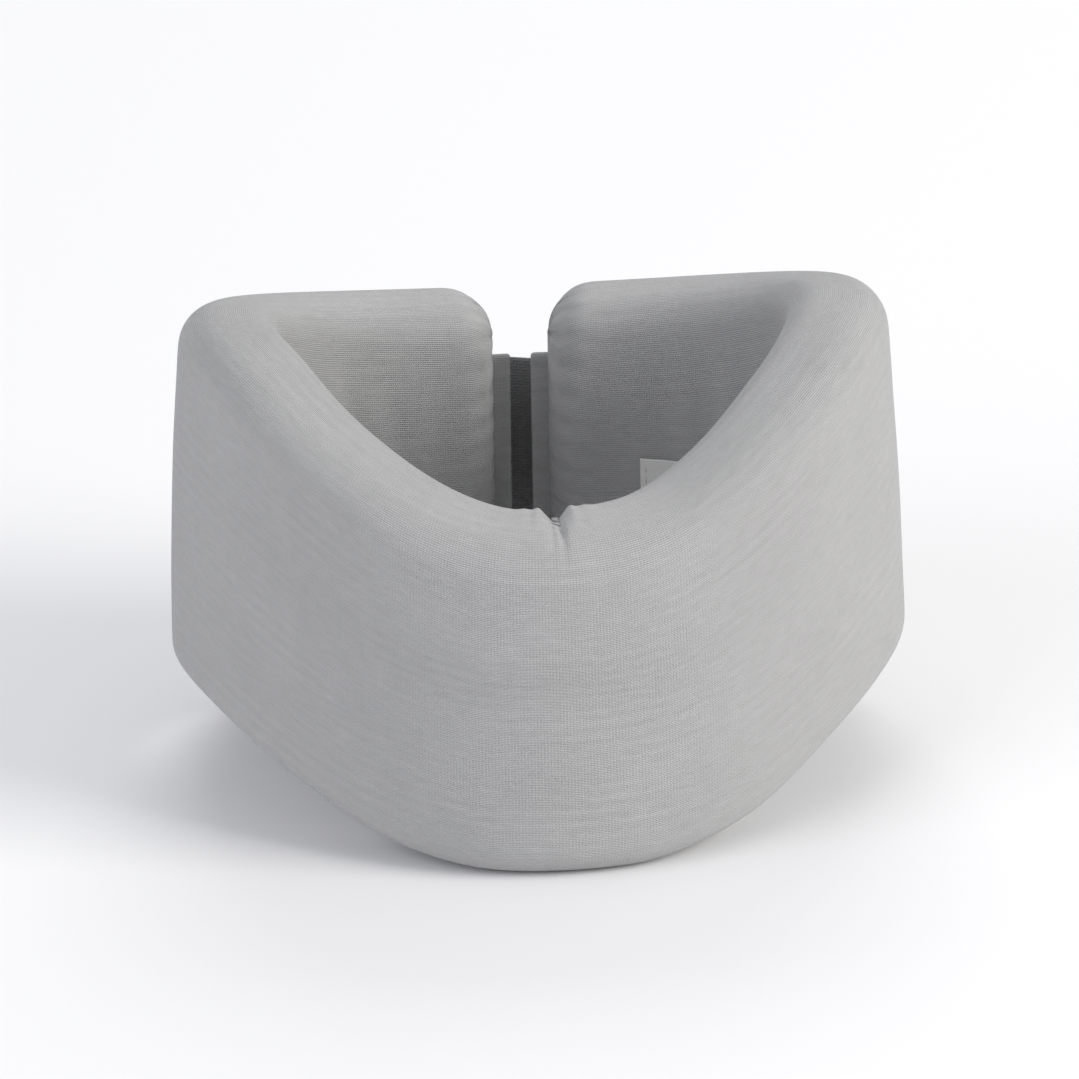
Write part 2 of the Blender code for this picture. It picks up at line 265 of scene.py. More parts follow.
@dataclass(frozen=True)
class RingPattern:
    """Points round the band's section, even by length, starting in the middle of its inner face.

    Each is a place on a frame of four corner centres, plus the edge radius times a unit direction.
    """

    count: int = 128
    height: float = 0.090

    def perimeter(self) -> float:
        """Length round a section: its straight runs and one circle of its corners' radius.

        Returns:
            The length.
        """
        radius = BAND.edge_radius
        straight = self.height - 2.0 * radius + BAND.thickness - 2.0 * radius
        return 2.0 * (straight + math.pi * radius)

    def mirrored(self) -> tuple[np.ndarray, np.ndarray]:
        """Numbers of the points up the inner half of the ring, and of those across from them."""
        near = np.arange(-(self.count // 4), self.count // 4) % self.count
        return near, (self.count // 2 - 1 - near) % self.count

    def arrays(self) -> tuple[np.ndarray, np.ndarray, np.ndarray, np.ndarray]:
        """Work out each point's place on the corner frame and its direction.

        The ring goes up the inner face, over the top, down the outer face and back underneath. A straight
        run moves between two corner centres with one direction, and a corner turns its direction by 90
        degrees on one centre.

        Returns:
            Across (0 outer, 1 inner), up (0 low, 1 high), and the direction's cosine and sine.
        """
        radius, flat = BAND.edge_radius, BAND.thickness - 2.0 * BAND.edge_radius
        side, corner = self.height - 2.0 * radius, radius * math.pi / 2.0
        lengths = np.cumsum([0.0, side / 2, corner, flat, corner, side, corner, flat, corner, side / 2])
        across = [1.0, 1.0, 1.0, 0.0, 0.0, 0.0, 0.0, 1.0, 1.0, 1.0]
        up = [0.5, 1.0, 1.0, 1.0, 1.0, 0.0, 0.0, 0.0, 0.0, 0.5]
        turn = np.radians([180.0, 180.0, 90.0, 90.0, 0.0, 0.0, -90.0, -90.0, -180.0, -180.0])
        places = (np.arange(self.count) + 0.5) * lengths[-1] / self.count
        turned = np.interp(places, lengths, turn)
        return (np.interp(places, lengths, across), np.interp(places, lengths, up),
                np.cos(turned), np.sin(turned))


def section_grid(angle: np.ndarray, distance: np.ndarray, inset: float, ring: RingPattern,
                 rounding: Rounding) -> tuple[np.ndarray, np.ndarray]:
    """Distances outside the outer face and heights of the band's skin, on a grid.

    Args:
        angle: angle of each section.
        distance: distance of each section from the band's nearer end.
        inset: how far inside the band's true section the skin lies.
        ring: the points of one section.
        rounding: how the sections close towards the ends.

    Returns:
        Two arrays with one row for each section and one column for each point of the ring.
    """
    across, up, cos, sin = ring.arrays()
    half = BAND.thickness / 2.0
    thin_share = rounding.share(distance, rounding.thin_length)[:, None]
    round_share = rounding.share(distance, rounding.round_length)[:, None]
    half_now = np.maximum(rounding.hem_half + (half - rounding.hem_half) * thin_share - inset, 0.2 * MM)
    radius = np.minimum(BAND.edge_radius - inset, half_now * 0.98)
    trim = rounding.round_height * (1.0 - round_share) + inset
    low = BAND.low(angle)[:, None] + trim
    high = BAND.high(angle)[:, None] - trim
    out = -half + (half_now - radius) * (1.0 - 2.0 * across) + radius * cos
    height = low + radius + (high - low - 2.0 * radius) * up + radius * sin
    slope = BAND.rim_slope * np.maximum(np.cos(angle), 0.0)[:, None] ** 2
    height = height - slope * (out + half) * smooth_step((up - 0.5) * 4.0)
    return out, height


def soften(grid: np.ndarray, passes: int) -> np.ndarray:
    """Even out a closed ring: each pass is the mean of a point, weighed twice, and its two neighbours.

    Args:
        grid: values by row and ring point.
        passes: how many times.

    Returns:
        The evened grid.
    """
    for _ in range(passes):
        grid = (np.roll(grid, 1, axis=1) + 2.0 * grid + np.roll(grid, -1, axis=1)) / 4.0
    return grid


def grid_normals(points: np.ndarray, closed: bool = True) -> np.ndarray:
    """Unit normals of a grid of points: the cross product of its two directions' differences.

    Args:
        points: rows of points; each row is a ring when closed.
        closed: whether each row's last point meets its first.

    Returns:
        Normals that point out of a band whose rings run up inside, over the top and down outside.
    """
    rows = np.gradient(points, axis=0)
    if closed:
        columns = (np.roll(points, -1, axis=1) - np.roll(points, 1, axis=1)) / 2.0
    else:
        columns = np.gradient(points, axis=1)
    normals = np.cross(columns, rows)
    return normals / np.maximum(np.linalg.norm(normals, axis=-1, keepdims=True), 1e-12)


# ---------------------------------------------------------------------------------------------------
# Meshes
# ---------------------------------------------------------------------------------------------------


@dataclass
class Sheaf:
    """Vertices, faces and UVs gathered from grids, then put into one mesh."""

    points: list = field(default_factory=list)
    faces: list = field(default_factory=list)
    uvs: list = field(default_factory=list)
    total: int = 0

    def add(self, points: np.ndarray, uvs: np.ndarray, wrap: bool = False, flip: bool = False) -> int:
        """Add a grid of points with quads between neighbours.

        Args:
            points: rows by columns by XYZ.
            uvs: rows by columns by UV; a wrapped grid has one more column, for the ring's end.
            wrap: whether each row closes on itself.
            flip: whether the faces turn the other way.

        Returns:
            The number of the grid's first vertex in the mesh.
        """
        rows, columns = points.shape[:2]
        first = self.total
        index = first + np.arange(rows * columns).reshape(rows, columns)
        after = np.concatenate((index, index[:, :1]), axis=1) if wrap else index
        corners = (after[:-1, :-1], after[:-1, 1:], after[1:, 1:], after[1:, :-1])
        uv_corners = (uvs[:-1, :-1], uvs[:-1, 1:], uvs[1:, 1:], uvs[1:, :-1])
        quads = np.stack([c.ravel() for c in corners], axis=1)
        quad_uvs = np.stack([c.reshape(-1, 2) for c in uv_corners], axis=1)
        if flip:
            quads, quad_uvs = quads[:, ::-1], quad_uvs[:, ::-1]
        self.points.append(points.reshape(-1, 3))
        self.faces.append(quads)
        self.uvs.append(quad_uvs)
        self.total += rows * columns
        return first

    def join(self, one: np.ndarray, other: np.ndarray, uv: tuple[float, float] = (0.0, 0.0)) -> None:
        """Add quads between two rows of existing vertices.

        Args:
            one: vertex numbers along the first row.
            other: vertex numbers along the second row, as many.
            uv: the UV given to all of their corners.
        """
        quads = np.stack((one[:-1], one[1:], other[1:], other[:-1]), axis=1)
        self.faces.append(quads)
        self.uvs.append(np.broadcast_to(np.array(uv), (*quads.shape, 2)).copy())

    def mesh(self, name: str, uv_name: str = "cloth") -> bpy.types.Mesh:
        """Make the mesh, smooth shaded, with its UVs in metres.

        Args:
            name: the mesh's name.
            uv_name: the name of its UVs.

        Returns:
            The mesh.
        """
        points = np.concatenate(self.points)
        faces = np.concatenate(self.faces)
        uvs = np.concatenate(self.uvs).reshape(-1, 2)
        mesh = bpy.data.meshes.new(name)
        mesh.vertices.add(len(points))
        mesh.vertices.foreach_set("co", points.astype(np.float32).ravel())
        mesh.loops.add(faces.size)
        mesh.loops.foreach_set("vertex_index", faces.astype(np.int32).ravel())
        mesh.polygons.add(len(faces))
        mesh.polygons.foreach_set("loop_start", np.arange(0, faces.size, 4, dtype=np.int32))
        mesh.uv_layers.new(name=uv_name)
        mesh.uv_layers[uv_name].data.foreach_set("uv", uvs.astype(np.float32).ravel())
        mesh.update(calc_edges=True)
        mesh.validate()
        mesh.shade_smooth()
        return mesh


def place(name: str, mesh: bpy.types.Mesh, material: bpy.types.Material) -> bpy.types.Object:
    """Put a mesh into the scene at the origin with its material, and report it.

    Args:
        name: the piece's name.
        mesh: its mesh.
        material: its finish.

    Returns:
        The piece.
    """
    mesh.materials.append(material)
    piece = bpy.data.objects.new(name, mesh)
    bpy.context.scene.collection.objects.link(piece)
    LOG.info("%s: %d faces", name, len(mesh.polygons))
    return piece


def weld(mesh: bpy.types.Mesh, distance: float = 1e-6) -> None:
    """Merge the vertices that lie on each other, which closes poles.

    Args:
        mesh: the mesh to change.
        distance: how close they lie.
    """
    build = bmesh.new()
    build.from_mesh(mesh)
    bmesh.ops.remove_doubles(build, verts=build.verts, dist=distance)
    bmesh.ops.dissolve_degenerate(build, edges=build.edges, dist=distance)
    build.to_mesh(mesh)
    build.free()
    mesh.shade_smooth()


def tube_grid(path: np.ndarray, up: np.ndarray, radius: np.ndarray, sides: int,
              flatten: float = 1.0) -> np.ndarray:
    """Rings of points round a path: its points plus radius times cosine and sine of two directions.

    Args:
        path: points along the path; any leading axes hold separate paths.
        up: a direction for each point, roughly square to the path.
        radius: radius at each point.
        sides: points in a ring.
        flatten: thickness of the ring along up, as a share of its width.

    Returns:
        An array like path with the ring's points on a new axis before XYZ.
    """
    along = np.gradient(path, axis=-2)
    along /= np.maximum(np.linalg.norm(along, axis=-1, keepdims=True), 1e-12)
    across = np.cross(along, up)
    across /= np.maximum(np.linalg.norm(across, axis=-1, keepdims=True), 1e-12)
    rise = np.cross(across, along)
    turn = np.arange(sides) * 2.0 * math.pi / sides
    ring = (across[..., None, :] * np.cos(turn)[:, None]
            + flatten * rise[..., None, :] * np.sin(turn)[:, None])
    return path[..., None, :] + radius[..., None, None] * ring


def many_tubes(name: str, grids: np.ndarray, pitch: float) -> bpy.types.Mesh:
    """One mesh of many short tubes whose ends come to a point.

    Args:
        name: the mesh's name.
        grids: tubes by rings by sides by XYZ.
        pitch: length of UV that one tube takes.

    Returns:
        The mesh, with each tube closed at both ends.
    """
    sheaf = Sheaf()
    rings, sides = grids.shape[1:3]
    round_each = np.linspace(0.0, 0.5 * pitch, sides + 1)
    uvs = np.stack(np.meshgrid(np.linspace(0.0, pitch, rings), round_each, indexing="ij"), axis=-1)
    for grid in grids:
        sheaf.add(grid, uvs, wrap=True)
    mesh = sheaf.mesh(name)
    weld(mesh)
    return mesh


# ---------------------------------------------------------------------------------------------------
# Shader nodes
# ---------------------------------------------------------------------------------------------------


class Graph:
    """A node tree being built: each method adds a node and gives back its output."""

    def __init__(self, tree: bpy.types.NodeTree) -> None:
        """Work on a tree."""
        self.tree = tree

    def node(self, kind: str, **settings: object) -> bpy.types.Node:
        """Add a node.

        Args:
            kind: its type.
            settings: properties to set on it.

        Returns:
            The node.
        """
        node = self.tree.nodes.new(kind)
        for name, value in settings.items():
            setattr(node, name, value)
        return node

    def feed(self, socket: Socket, value: object) -> None:
        """Link a socket into another, or set its value.

        Args:
            socket: the socket to feed.
            value: a socket or a plain value.
        """
        if isinstance(value, bpy.types.NodeSocket):
            self.tree.links.new(value, socket)
        else:
            socket.default_value = value

    def math(self, operation: str, *values: object) -> Socket:
        """Add a Math node.

        Args:
            operation: what it works out.
            values: one to three sockets or numbers.

        Returns:
            Its result.
        """
        node = self.node("ShaderNodeMath", operation=operation)
        for socket, value in zip(node.inputs, values):
            self.feed(socket, value)
        return node.outputs[0]

    def noise(self, vector: Socket, scale: float, detail: float = 2.0, rough: float = 0.5) -> Socket:
        """Add smooth noise.

        Args:
            vector: where it is read.
            scale: cycles for a metre.
            detail: how many finer layers it has.
            rough: how strong each is beside the one before.

        Returns:
            The noise, 0 to 1.
        """
        node = self.node("ShaderNodeTexNoise", noise_dimensions="3D")
        self.feed(node.inputs["Vector"], vector)
        node.inputs["Scale"].default_value = scale
        node.inputs["Detail"].default_value = detail
        node.inputs["Roughness"].default_value = rough
        return node.outputs["Fac"]

    def remap(self, value: Socket, low: float, high: float, to_low: float, to_high: float) -> Socket:
        """Map a range of values to another, and hold its ends.

        Args:
            value: the value.
            low: the range's start.
            high: the range's end.
            to_low: the result at low.
            to_high: the result at high.

        Returns:
            The result.
        """
        node = self.node("ShaderNodeMapRange", clamp=True)
        for socket, number in zip(node.inputs, (value, low, high, to_low, to_high)):
            self.feed(socket, number)
        return node.outputs["Result"]

    def shade(self, colour: Socket, level: Socket) -> Socket:
        """Multiply a colour.

        Args:
            colour: the colour.
            level: what it is multiplied by.

        Returns:
            The product.
        """
        node = self.node("ShaderNodeVectorMath", operation="SCALE")
        self.feed(node.inputs[0], colour)
        self.feed(node.inputs["Scale"], level)
        return node.outputs[0]

    def cloth(self) -> Socket:
        """The piece's own UVs, in metres along and across the cloth."""
        return self.node("ShaderNodeUVMap", uv_map="cloth").outputs["UV"]

    def split(self, vector: Socket) -> tuple[Socket, Socket]:
        """Take a vector apart.

        Args:
            vector: the vector.

        Returns:
            Its X and Y.
        """
        node = self.node("ShaderNodeSeparateXYZ")
        self.feed(node.inputs[0], vector)
        return node.outputs["X"], node.outputs["Y"]

    def stretch(self, vector: Socket, scale: tuple[float, float, float]) -> Socket:
        """Scale a vector along its axes.

        Args:
            vector: the vector.
            scale: factor for each axis.

        Returns:
            The scaled vector.
        """
        node = self.node("ShaderNodeMapping")
        self.feed(node.inputs["Vector"], vector)
        node.inputs["Scale"].default_value = scale
        return node.outputs["Vector"]

    def group(self, tree: bpy.types.NodeTree, **values: object) -> bpy.types.Node:
        """Place a node group.

        Args:
            tree: the group.
            values: a value or socket for each input, by the input's name in lower case.

        Returns:
            The group's node.
        """
        node = self.node("ShaderNodeGroup")
        node.node_tree = tree
        for name, value in values.items():
            self.feed(node.inputs[name.replace("_", " ").title()], value)
        return node


class Effects:
    """Shader effects that several finishes share, each built once as a node group."""

    def __init__(self) -> None:
        """Build the groups."""
        self.knit = self.make_knit()
        self.weave = self.make_weave()
        self.melange = self.make_melange()
        self.ply = self.make_ply()

    @staticmethod
    def start(name: str, inputs: dict[str, object], outputs: dict[str, str]) -> tuple[
            bpy.types.NodeTree, Graph, bpy.types.Node, bpy.types.Node]:
        """Open a group with named sockets.

        Args:
            name: the group's name.
            inputs: default of each input; a number, a colour, or None for a vector.
            outputs: socket kind of each output.

        Returns:
            The group's tree, its graph, and its input and output nodes.
        """
        tree = bpy.data.node_groups.new(name, "ShaderNodeTree")
        for label, value in inputs.items():
            kind = "NodeSocketFloat" if isinstance(value, float) else "NodeSocketColor"
            if value is None:
                kind = "NodeSocketVector"
            socket = tree.interface.new_socket(label, in_out="INPUT", socket_type=kind)
            if value is not None:
                socket.default_value = value
        for label, kind in outputs.items():
            tree.interface.new_socket(label, in_out="OUTPUT", socket_type=kind)
        graph = Graph(tree)
        return tree, graph, graph.node("NodeGroupInput"), graph.node("NodeGroupOutput")

    def make_knit(self) -> bpy.types.NodeTree:
        """Plain knit: columns of V-shaped stitches.

        Across a column, a runs from 0 at its middle to 1 at its edge. A strand's height is a rounded
        ridge at a = 1/2, times a wave along the column that lags by a, which draws the V.

        Returns:
            The group.
        """
        tree, graph, given, result = self.start(
            "knit_stitches", {"Vector": None, "Wale": 0.001, "Stitch": 0.0008},
            {"Height": "NodeSocketFloat", "Valley": "NodeSocketFloat"})
        drift = graph.noise(graph.stretch(given.outputs["Vector"], (0.3, 1.0, 1.0)), 160.0, 1.0)
        along, around = graph.split(given.outputs["Vector"])
        around = graph.math("MULTIPLY_ADD", drift, 0.0005, around)
        column = graph.math("FRACT", graph.math("DIVIDE", around, given.outputs["Wale"]))
        across = graph.math("ABSOLUTE", graph.math("MULTIPLY_ADD", column, 2.0, -1.0))
        lag = graph.math("MULTIPLY_ADD", across, 0.75, graph.math("DIVIDE", along, given.outputs["Stitch"]))
        wave = graph.math("SINE", graph.math("MULTIPLY", lag, 2.0 * math.pi))
        ridge = graph.math("SUBTRACT", 1.0, graph.math("POWER", graph.math(
            "ABSOLUTE", graph.math("MULTIPLY_ADD", across, 2.0, -1.0)), 2.0))
        strand = graph.math("MULTIPLY", ridge, graph.math("MULTIPLY_ADD", wave, 0.28, 0.72))
        graph.feed(result.inputs["Height"], strand)
        graph.feed(result.inputs["Valley"], graph.remap(strand, 0.0, 0.45, 1.0, 0.0))
        return tree

    def make_weave(self) -> bpy.types.NodeTree:
        """Woven cloth: warp and weft bows, one over the other where a stepped check says so.

        The warp is on top where the fraction of (warp number plus weft number) / float is past 1/float.

        Returns:
            The group.
        """
        tree, graph, given, result = self.start(
            "weave", {"Vector": None, "Pitch": 0.0007, "Float": 3.0},
            {"Height": "NodeSocketFloat"})
        along, around = graph.split(given.outputs["Vector"])
        x = graph.math("DIVIDE", along, given.outputs["Pitch"])
        y = graph.math("DIVIDE", around, given.outputs["Pitch"])
        bows = [graph.math("SINE", graph.math("MULTIPLY", graph.math("FRACT", value), math.pi))
                for value in (x, y)]
        number = graph.math("ADD", graph.math("FLOOR", x), graph.math("FLOOR", y))
        number = graph.math("ADD", number, 0.5)
        step = graph.math("FRACT", graph.math("DIVIDE", number, given.outputs["Float"]))
        on_top = graph.math("GREATER_THAN", step, graph.math("DIVIDE", 1.0, given.outputs["Float"]))
        warp = graph.math("MULTIPLY", bows[1], on_top)
        weft = graph.math("MULTIPLY", bows[0], graph.math("SUBTRACT", 1.0, on_top))
        graph.feed(result.inputs["Height"], graph.math("ADD", warp, weft))
        return tree

    def make_melange(self) -> bpy.types.NodeTree:
        """Yarn colour that is never quite even: fibres, streaks along the yarn and slow patches.

        Returns:
            The group.
        """
        tree, graph, given, result = self.start(
            "melange", {"Vector": None, "Colour": (0.5, 0.5, 0.5, 1.0), "Amount": 1.0},
            {"Colour": "NodeSocketColor", "Fuzz": "NodeSocketFloat"})
        vector = given.outputs["Vector"]
        streak = graph.noise(graph.stretch(vector, (0.22, 1.0, 1.0)), 900.0, 3.0, 0.6)
        fibre = graph.noise(vector, 3200.0, 2.0, 0.7)
        patch = graph.noise(vector, 45.0, 3.0, 0.55)
        total = graph.math("MULTIPLY_ADD", streak, 0.46, graph.math(
            "MULTIPLY_ADD", fibre, 0.30, graph.math("MULTIPLY", patch, 0.24)))
        level = graph.math("MULTIPLY_ADD", graph.math("SUBTRACT", total, 0.5), given.outputs["Amount"], 1.0)
        graph.feed(result.inputs["Colour"], graph.shade(given.outputs["Colour"], level))
        graph.feed(result.inputs["Fuzz"], fibre)
        return tree

    def make_ply(self) -> bpy.types.NodeTree:
        """Twisted plies of a thread: bows of a wave that runs slantwise round it.

        Returns:
            The group.
        """
        tree, graph, given, result = self.start(
            "ply_twist", {"Vector": None, "Lay": 0.0007}, {"Height": "NodeSocketFloat"})
        along, around = graph.split(given.outputs["Vector"])
        lead = graph.math("DIVIDE", graph.math("MULTIPLY_ADD", around, 1.4, along), given.outputs["Lay"])
        graph.feed(result.inputs["Height"], graph.math(
            "ABSOLUTE", graph.math("SINE", graph.math("MULTIPLY", lead, math.pi))))
        return tree


@dataclass(frozen=True)
class Finish:
    """What all finishes share: a colour, a gloss and how the shader is set.

    Numbers that are the same all over a surface are set straight on the shader.
    """

    name: str
    colour: tuple[float, float, float]
    roughness: float = 0.85
    sheen: float = 0.2
    relief: float = 0.15 * MM
    specular: float = 0.3

    def open(self) -> tuple[bpy.types.Material, Graph, bpy.types.Node]:
        """Start the material.

        Returns:
            The material, its graph and its shader.
        """
        material = bpy.data.materials.new(self.name)
        material.use_nodes = True
        graph = Graph(material.node_tree)
        shader = material.node_tree.nodes["Principled BSDF"]
        shader.inputs["Base Color"].default_value = (*self.colour, 1.0)
        shader.inputs["Roughness"].default_value = self.roughness
        shader.inputs["Specular IOR Level"].default_value = self.specular
        shader.inputs["Sheen Weight"].default_value = self.sheen
        shader.inputs["Sheen Roughness"].default_value = 0.45
        material.diffuse_color = (*self.colour, 1.0)
        return material, graph, shader

    def emboss(self, graph: Graph, shader: bpy.types.Node, height: Socket) -> None:
        """Feed a height into the shader's normal, at the finish's relief.

        Args:
            graph: the material's graph.
            shader: its shader.
            height: the height, 0 to 1.
        """
        node = graph.node("ShaderNodeBump")
        node.inputs["Strength"].default_value = 1.0
        node.inputs["Distance"].default_value = self.relief
        graph.feed(node.inputs["Height"], height)
        graph.feed(shader.inputs["Normal"], node.outputs["Normal"])


@dataclass(frozen=True)
class ClothFinish(Finish):
    """Knitted or woven yarn, patterned on the piece's own UVs, which are in metres."""

    grain: Grain = Grain.KNIT
    pitch: float = 1.0 * MM
    stitch: float = 0.8 * MM
    amount: float = 0.5
    shadow: float = 0.35
    rib: float = 0.0
    rib_pitch: float = 3.4 * MM

    def make(self, effects: Effects) -> bpy.types.Material:
        """Build the material.

        Args:
            effects: the shared node groups.

        Returns:
            The material.
        """
        material, graph, shader = self.open()
        cloth = graph.cloth()
        if self.grain is Grain.KNIT:
            grain = graph.group(effects.knit, vector=cloth, wale=self.pitch, stitch=self.stitch)
            height, hollow = grain.outputs["Height"], grain.outputs["Valley"]
        else:
            floats = 3.0 if self.grain is Grain.TWILL else 6.0
            grain = graph.group(effects.weave, vector=cloth, pitch=self.pitch, float=floats)
            height = grain.outputs["Height"]
            hollow = graph.remap(height, 0.0, 0.6, 1.0, 0.0)
        yarn = graph.group(effects.melange, vector=cloth, colour=(*self.colour, 1.0), amount=self.amount)
        # painted shade: the yarn colour is darkened in the hollows between strands, by shadow
        level = graph.math("MULTIPLY_ADD", hollow, -self.shadow, 1.0)
        if self.rib:
            level = graph.math("MULTIPLY", level, self.ribs(graph, cloth))
        graph.feed(shader.inputs["Base Color"], graph.shade(yarn.outputs["Colour"], level))
        graph.feed(shader.inputs["Roughness"], graph.remap(
            yarn.outputs["Fuzz"], 0.3, 0.7, self.roughness - 0.08, min(self.roughness + 0.06, 1.0)))
        self.emboss(graph, shader, graph.math("MULTIPLY_ADD", yarn.outputs["Fuzz"], 0.25, height))
        return material

    def ribs(self, graph: Graph, cloth: Socket) -> Socket:
        """Faint bands that run along the knit where the yarn's tension changed: a slow, uneven wave.

        Args:
            graph: the material's graph.
            cloth: the piece's UVs.

        Returns:
            What the colour is multiplied by: 1 plus or minus rib.
        """
        around = graph.split(cloth)[1]
        drift = graph.noise(graph.stretch(cloth, (0.25, 1.0, 1.0)), 60.0, 1.0)
        turn = graph.math("MULTIPLY", around, 2.0 * math.pi / self.rib_pitch)
        phase = graph.math("MULTIPLY_ADD", drift, 1.6, turn)
        wave = graph.math("SINE", phase)
        fade = graph.remap(graph.noise(graph.stretch(cloth, (0.3, 1.0, 1.0)), 70.0, 1.0), 0.4, 0.65, 0.0, 1.0)
        return graph.math("MULTIPLY_ADD", graph.math("MULTIPLY", wave, fade), self.rib, 1.0)


@dataclass(frozen=True)
class ThreadFinish(Finish):
    """Twisted sewing thread."""

    lay: float = 0.7 * MM

    def make(self, effects: Effects) -> bpy.types.Material:
        """Build the material.

        Args:
            effects: the shared node groups.

        Returns:
            The material.
        """
        material, graph, shader = self.open()
        cloth = graph.cloth()
        ply = graph.group(effects.ply, vector=cloth, lay=self.lay)
        yarn = graph.group(effects.melange, vector=cloth, colour=(*self.colour, 1.0), amount=0.35)
        # painted shade: the thread colour darkens in the grooves between its twisted plies
        level = graph.remap(ply.outputs["Height"], 0.0, 0.5, 0.7, 1.0)
        graph.feed(shader.inputs["Base Color"], graph.shade(yarn.outputs["Colour"], level))
        self.emboss(graph, shader, ply.outputs["Height"])
        return material


@dataclass(frozen=True)
class MouldedFinish(Finish):
    """Moulded nylon or open-celled foam: an uneven skin patterned on the object's own coordinates."""

    cell: float = 1200.0
    spread: float = 0.3

    def make(self, effects: Effects) -> bpy.types.Material:
        """Build the material.

        Args:
            effects: the shared node groups.

        Returns:
            The material.
        """
        material, graph, shader = self.open()
        where = graph.node("ShaderNodeTexCoord").outputs["Object"]
        grain = graph.noise(where, self.cell, 3.0, 0.6)
        tone = graph.group(effects.melange, vector=where, colour=(*self.colour, 1.0), amount=self.spread)
        graph.feed(shader.inputs["Base Color"], tone.outputs["Colour"])
        graph.feed(shader.inputs["Roughness"], graph.remap(
            grain, 0.3, 0.7, self.roughness - 0.1, min(self.roughness + 0.08, 1.0)))
        self.emboss(graph, shader, grain)
        return material


class Wardrobe:
    """Every finish of the collar, made once."""

    def __init__(self) -> None:
        """Make the materials."""
        effects = Effects()
        self.knit = ClothFinish(
            "grey_stockinette", (0.42, 0.42, 0.422), 0.92, 0.25, 0.16 * MM,
            pitch=0.95 * MM, stitch=0.75 * MM, amount=0.55, shadow=0.30, rib=0.030).make(effects)
        self.webbing = ClothFinish(
            "grey_webbing", (0.36, 0.36, 0.365), 0.80, 0.15, 0.18 * MM,
            grain=Grain.TWILL, pitch=0.75 * MM, amount=0.45, shadow=0.40).make(effects)
        self.loop_base = ClothFinish(
            "loop_ground", (0.33, 0.33, 0.335), 0.95, 0.4, 0.14 * MM,
            grain=Grain.TWILL, pitch=0.6 * MM, amount=0.6, shadow=0.45).make(effects)
        self.label = ClothFinish(
            "label_satin", (0.80, 0.80, 0.78), 0.42, 0.1, 0.04 * MM, 0.5,
            grain=Grain.SATIN, pitch=0.28 * MM, amount=0.15, shadow=0.12).make(effects)
        self.thread = ThreadFinish(
            "grey_thread", (0.47, 0.47, 0.475), 0.60, 0.1, 0.06 * MM, 0.4).make(effects)
        self.pale_thread = ThreadFinish(
            "white_thread", (0.74, 0.74, 0.73), 0.60, 0.1, 0.06 * MM, 0.4).make(effects)
        self.pile = MouldedFinish(
            "loop_pile", (0.40, 0.40, 0.405), 0.90, 0.5, 0.02 * MM, 0.25, spread=0.7).make(effects)
        self.hook = MouldedFinish(
            "hook_nylon", (0.27, 0.27, 0.275), 0.42, 0.0, 0.02 * MM, 0.5).make(effects)
        self.foam = MouldedFinish(
            "cream_foam", (0.80, 0.77, 0.66), 0.95, 0.1, 0.25 * MM, 0.2, cell=1500.0).make(effects)


# ---------------------------------------------------------------------------------------------------
# The sleeve and the foam inside it
# ---------------------------------------------------------------------------------------------------


@dataclass
class Skin:
    """The sleeve's outer surface over the whole band: one closed ring of points for each section.

    arcs are the sections' distances from the chin along the outer face, positive to the left, and
    around is each ring point's distance round the section.
    """

    arcs: np.ndarray
    around: np.ndarray
    points: np.ndarray
    normals: np.ndarray

    def at(self, arc: np.ndarray, around: np.ndarray, lift: np.ndarray) -> tuple[np.ndarray, np.ndarray]:
        """Points over the skin, between its own points by straight lines, and the normals there.

        Args:
            arc: distances from the chin.
            around: distances round the section.
            lift: heights over the skin.

        Returns:
            The points and the unit normals.
        """
        arc, around = np.broadcast_arrays(arc, around)
        row = np.interp(arc, self.arcs, np.arange(len(self.arcs)))
        step = self.around[1] - self.around[0]
        column = np.mod((around - self.around[0]) / step, len(self.around))
        r0 = np.minimum(row.astype(int), len(self.arcs) - 2)
        c0 = column.astype(int) % len(self.around)
        c1 = (c0 + 1) % len(self.around)
        fr, fc = (row - r0)[..., None], (column - np.floor(column))[..., None]
        found = []
        for grid in (self.points, self.normals):
            near = grid[r0, c0] * (1 - fc) + grid[r0, c1] * fc
            far = grid[r0 + 1, c0] * (1 - fc) + grid[r0 + 1, c1] * fc
            found.append(near * (1 - fr) + far * fr)
        normal = found[1] / np.linalg.norm(found[1], axis=-1, keepdims=True)
        return found[0] + normal * np.asarray(lift)[..., None], normal


